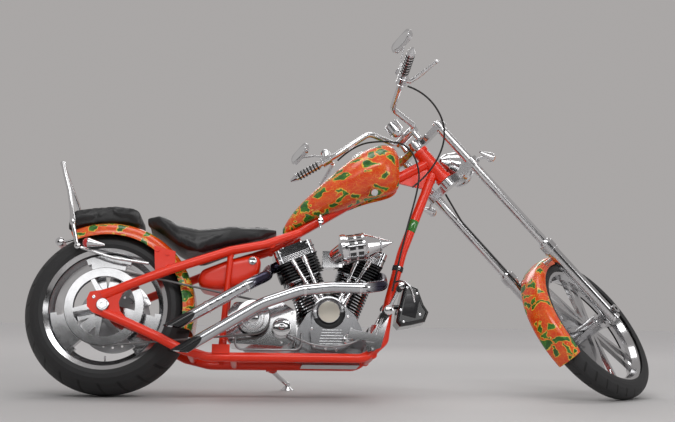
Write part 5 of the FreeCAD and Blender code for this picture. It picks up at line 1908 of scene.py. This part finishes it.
    def stand_nut(self) -> None:
        """The nut on the stand's pin."""
        joint = next(j for j in frame["joints"] if j["name"] == "side_stand_swing")
        back = SPACE.main.inverted()
        axis = (back.to_3x3() @ Vector(joint["axis"])).normalized()
        at = back @ Vector(joint["pos_m"])
        out = axis if axis.y > 0 else -axis
        nut = SHOP.turned([(7.6, 0.0), (11.0, 0.4), (11.0, 1.2), (9.8, 1.6), (9.8, 5.0), (8.4, 6.4),
                           (0.3, 6.6)], at + out * 7.4, out, 24)
        SHOP.fit("stand_nut", nut, SATIN)


@dataclass
class ExhaustTrim:
    """Slotted shields and clamps along both pipes; the slots are gloss black plates, painted shade for the
    openings.
    """

    pipe: float = 22.0

    def build(self) -> None:
        """Makes the slots, and the clamps with their screws."""
        slots, rings = [], []
        for a, b, count in (((985, -240, 400), (770, -246, 387), 9),
                            ((545, -236.4, 403), (400, -239.4, 318), 6)):
            a, b = Vector(a), Vector(b)
            d = (b - a).normalized()
            out = (RIGHT - d * RIGHT.dot(d)).normalized()
            for k in range(count):
                at = a.lerp(b, (k + 0.5) / count) + out * (self.pipe - 0.5)
                slots.append(SHOP.block(at, (15.0, 5.0, 1.6), (d + UP * 0.35).normalized(), out, 0.7, 2))
            for t in (0.0, 1.0):
                rings.append(SHOP.turned([(self.pipe - 0.4, -7.0), (self.pipe + 1.6, -6.0),
                                          (self.pipe + 1.6, 6.0), (self.pipe - 0.4, 7.0)], a.lerp(b, t), d,
                                          40))
                rings.append(SCREWS.screw(a.lerp(b, t) + d.cross(out) * -(self.pipe + 1.0),
                                          d.cross(out) * -1.0, 4.0))
        # the gloss black slot plates are painted shade for the openings in the shields
        SHOP.fit("shield_slots", slots, GLOSS_BLACK)
        SHOP.fit("pipe_clamps", rings, CHROME)


@dataclass
class TankTrim:
    """Filler cap, fuel tap, knobs and the cap of the oil tank."""

    def build(self) -> None:
        """Makes the caps, the tap and the knobs."""
        up = Vector((-0.56, 0.0, 0.83)).normalized()
        at = Vector((1010.0, 0.0, 1016.0))
        cap = SHOP.turned([(33.0, -4.0), (33.0, 3.0), (30.0, 5.0), (27.0, 5.6), (26.0, 12.0), (22.0, 15.0),
                           (10.0, 16.4), (0.3, 16.6)], at, up, 48)
        grip = SHOP.turned([(3.0, 5.0), (3.0, 13.0), (2.0, 13.6)], at + up.cross(LEFT) * 26.4, up, 12)
        SHOP.fit("filler_cap", [cap] + SHOP.ring(grip, at, up, 16), CHROME, slot="chrome")
        tap = SHOP.turned([(9.0, -14.0), (9.0, 16.0), (6.0, 18.0), (6.0, 30.0), (4.0, 31.0), (4.0, 40.0),
                           (0.3, 40.6)], Vector((842.0, -46.0, 728.0)), Vector((0.0, -0.15, -1.0)), 24)
        knob = SHOP.turned([(4.0, 0.0), (4.0, 12.0), (12.0, 13.0), (13.0, 17.0), (11.0, 22.0), (0.3, 23.0)],
                           Vector((842.0, -50.0, 714.0)), RIGHT, 28)
        knob_b = SHOP.turned([(7.0, -20.0), (7.0, 4.0), (15.0, 6.0), (16.0, 11.0), (14.0, 17.0), (0.3, 18.4)],
                             Vector((1062.0, -92.0, 838.0)), Vector((0.1, -0.85, -0.5)), 32)
        SHOP.fit("fuel_tap", [tap, knob, knob_b], CHROME)
        oil = SHOP.turned([(17.0, -3.0), (17.0, 3.0), (15.0, 5.0), (13.0, 5.4), (12.4, 10.0), (0.3, 11.0)],
                          Vector((566.0, -98.0, 532.0)), RIGHT, 36)
        SHOP.fit("oil_cap", oil, CHROME)


@dataclass
class TailTrim:
    """Tail lens, rear signal lenses and the spear joints of the sissy bar."""

    lamp: Vector = field(default_factory=lambda: Vector((-214.0, 0.0, 612.0)))

    def build(self) -> None:
        """Makes the rear pieces."""
        lens = SHOP.turned([(15.9, -24.0), (17.0, -23.0), (17.0, 23.0), (15.9, 24.0)], self.lamp, LEFT, 40)
        SHOP.fit("tail_lens", lens, RED_LENS)
        caps = [SHOP.turned([(17.4, -1.0), (17.4, 3.0), (13.0, 6.0), (0.3, 7.0)], self.lamp + RIGHT * 25.0,
                            RIGHT, 40)]
        SHOP.fit("tail_caps", SHOP.mirrored(caps), CHROME)
        signal = SHOP.turned([(18.6, 0.0), (19.6, 2.0), (18.0, 10.0), (11.0, 17.0), (0.3, 20.0)],
                             Vector((-76.0, -178.0, 573.4)), Vector((-1.0, 0.0, 0.08)), 36)
        SHOP.fit("rear_signal_lenses", SHOP.mirrored([signal]), RED_LENS)
        a, b = Vector((-141.0, -153.0, 650.0)), Vector((-156.0, -144.0, 724.0))
        spear = SHOP.turned([(8.2, 0.0), (11.0, 6.0), (13.4, 16.0), (11.6, 26.0), (9.4, 44.0), (8.2, 62.0)],
                            a, b - a, 32)
        foot = SHOP.turned([(12.4, -1.0), (12.4, 3.0), (9.0, 5.0), (0.3, 6.0)],
                           Vector((-118.0, -157.0, 566.0)), RIGHT, 28)
        SHOP.fit("sissy_spears", SHOP.mirrored([spear, foot]), CHROME)


def main() -> None:
    """Builds every sub-assembly in order and reports it."""
    logging.basicConfig(level=logging.INFO, format="%(name)s: %(message)s")
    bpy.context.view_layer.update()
    NodeFinishes().build()
    Seats().build()
    OilTank().build()
    Fenders().build()
    Cables().build()
    EngineTrim().build()
    WheelTrim().build()
    ForkTrim().build()
    ChassisTrim().build()
    ExhaustTrim().build()
    TankTrim().build()
    TailTrim().build()
    Stage().build()


if __name__ == "__main__":
    main()
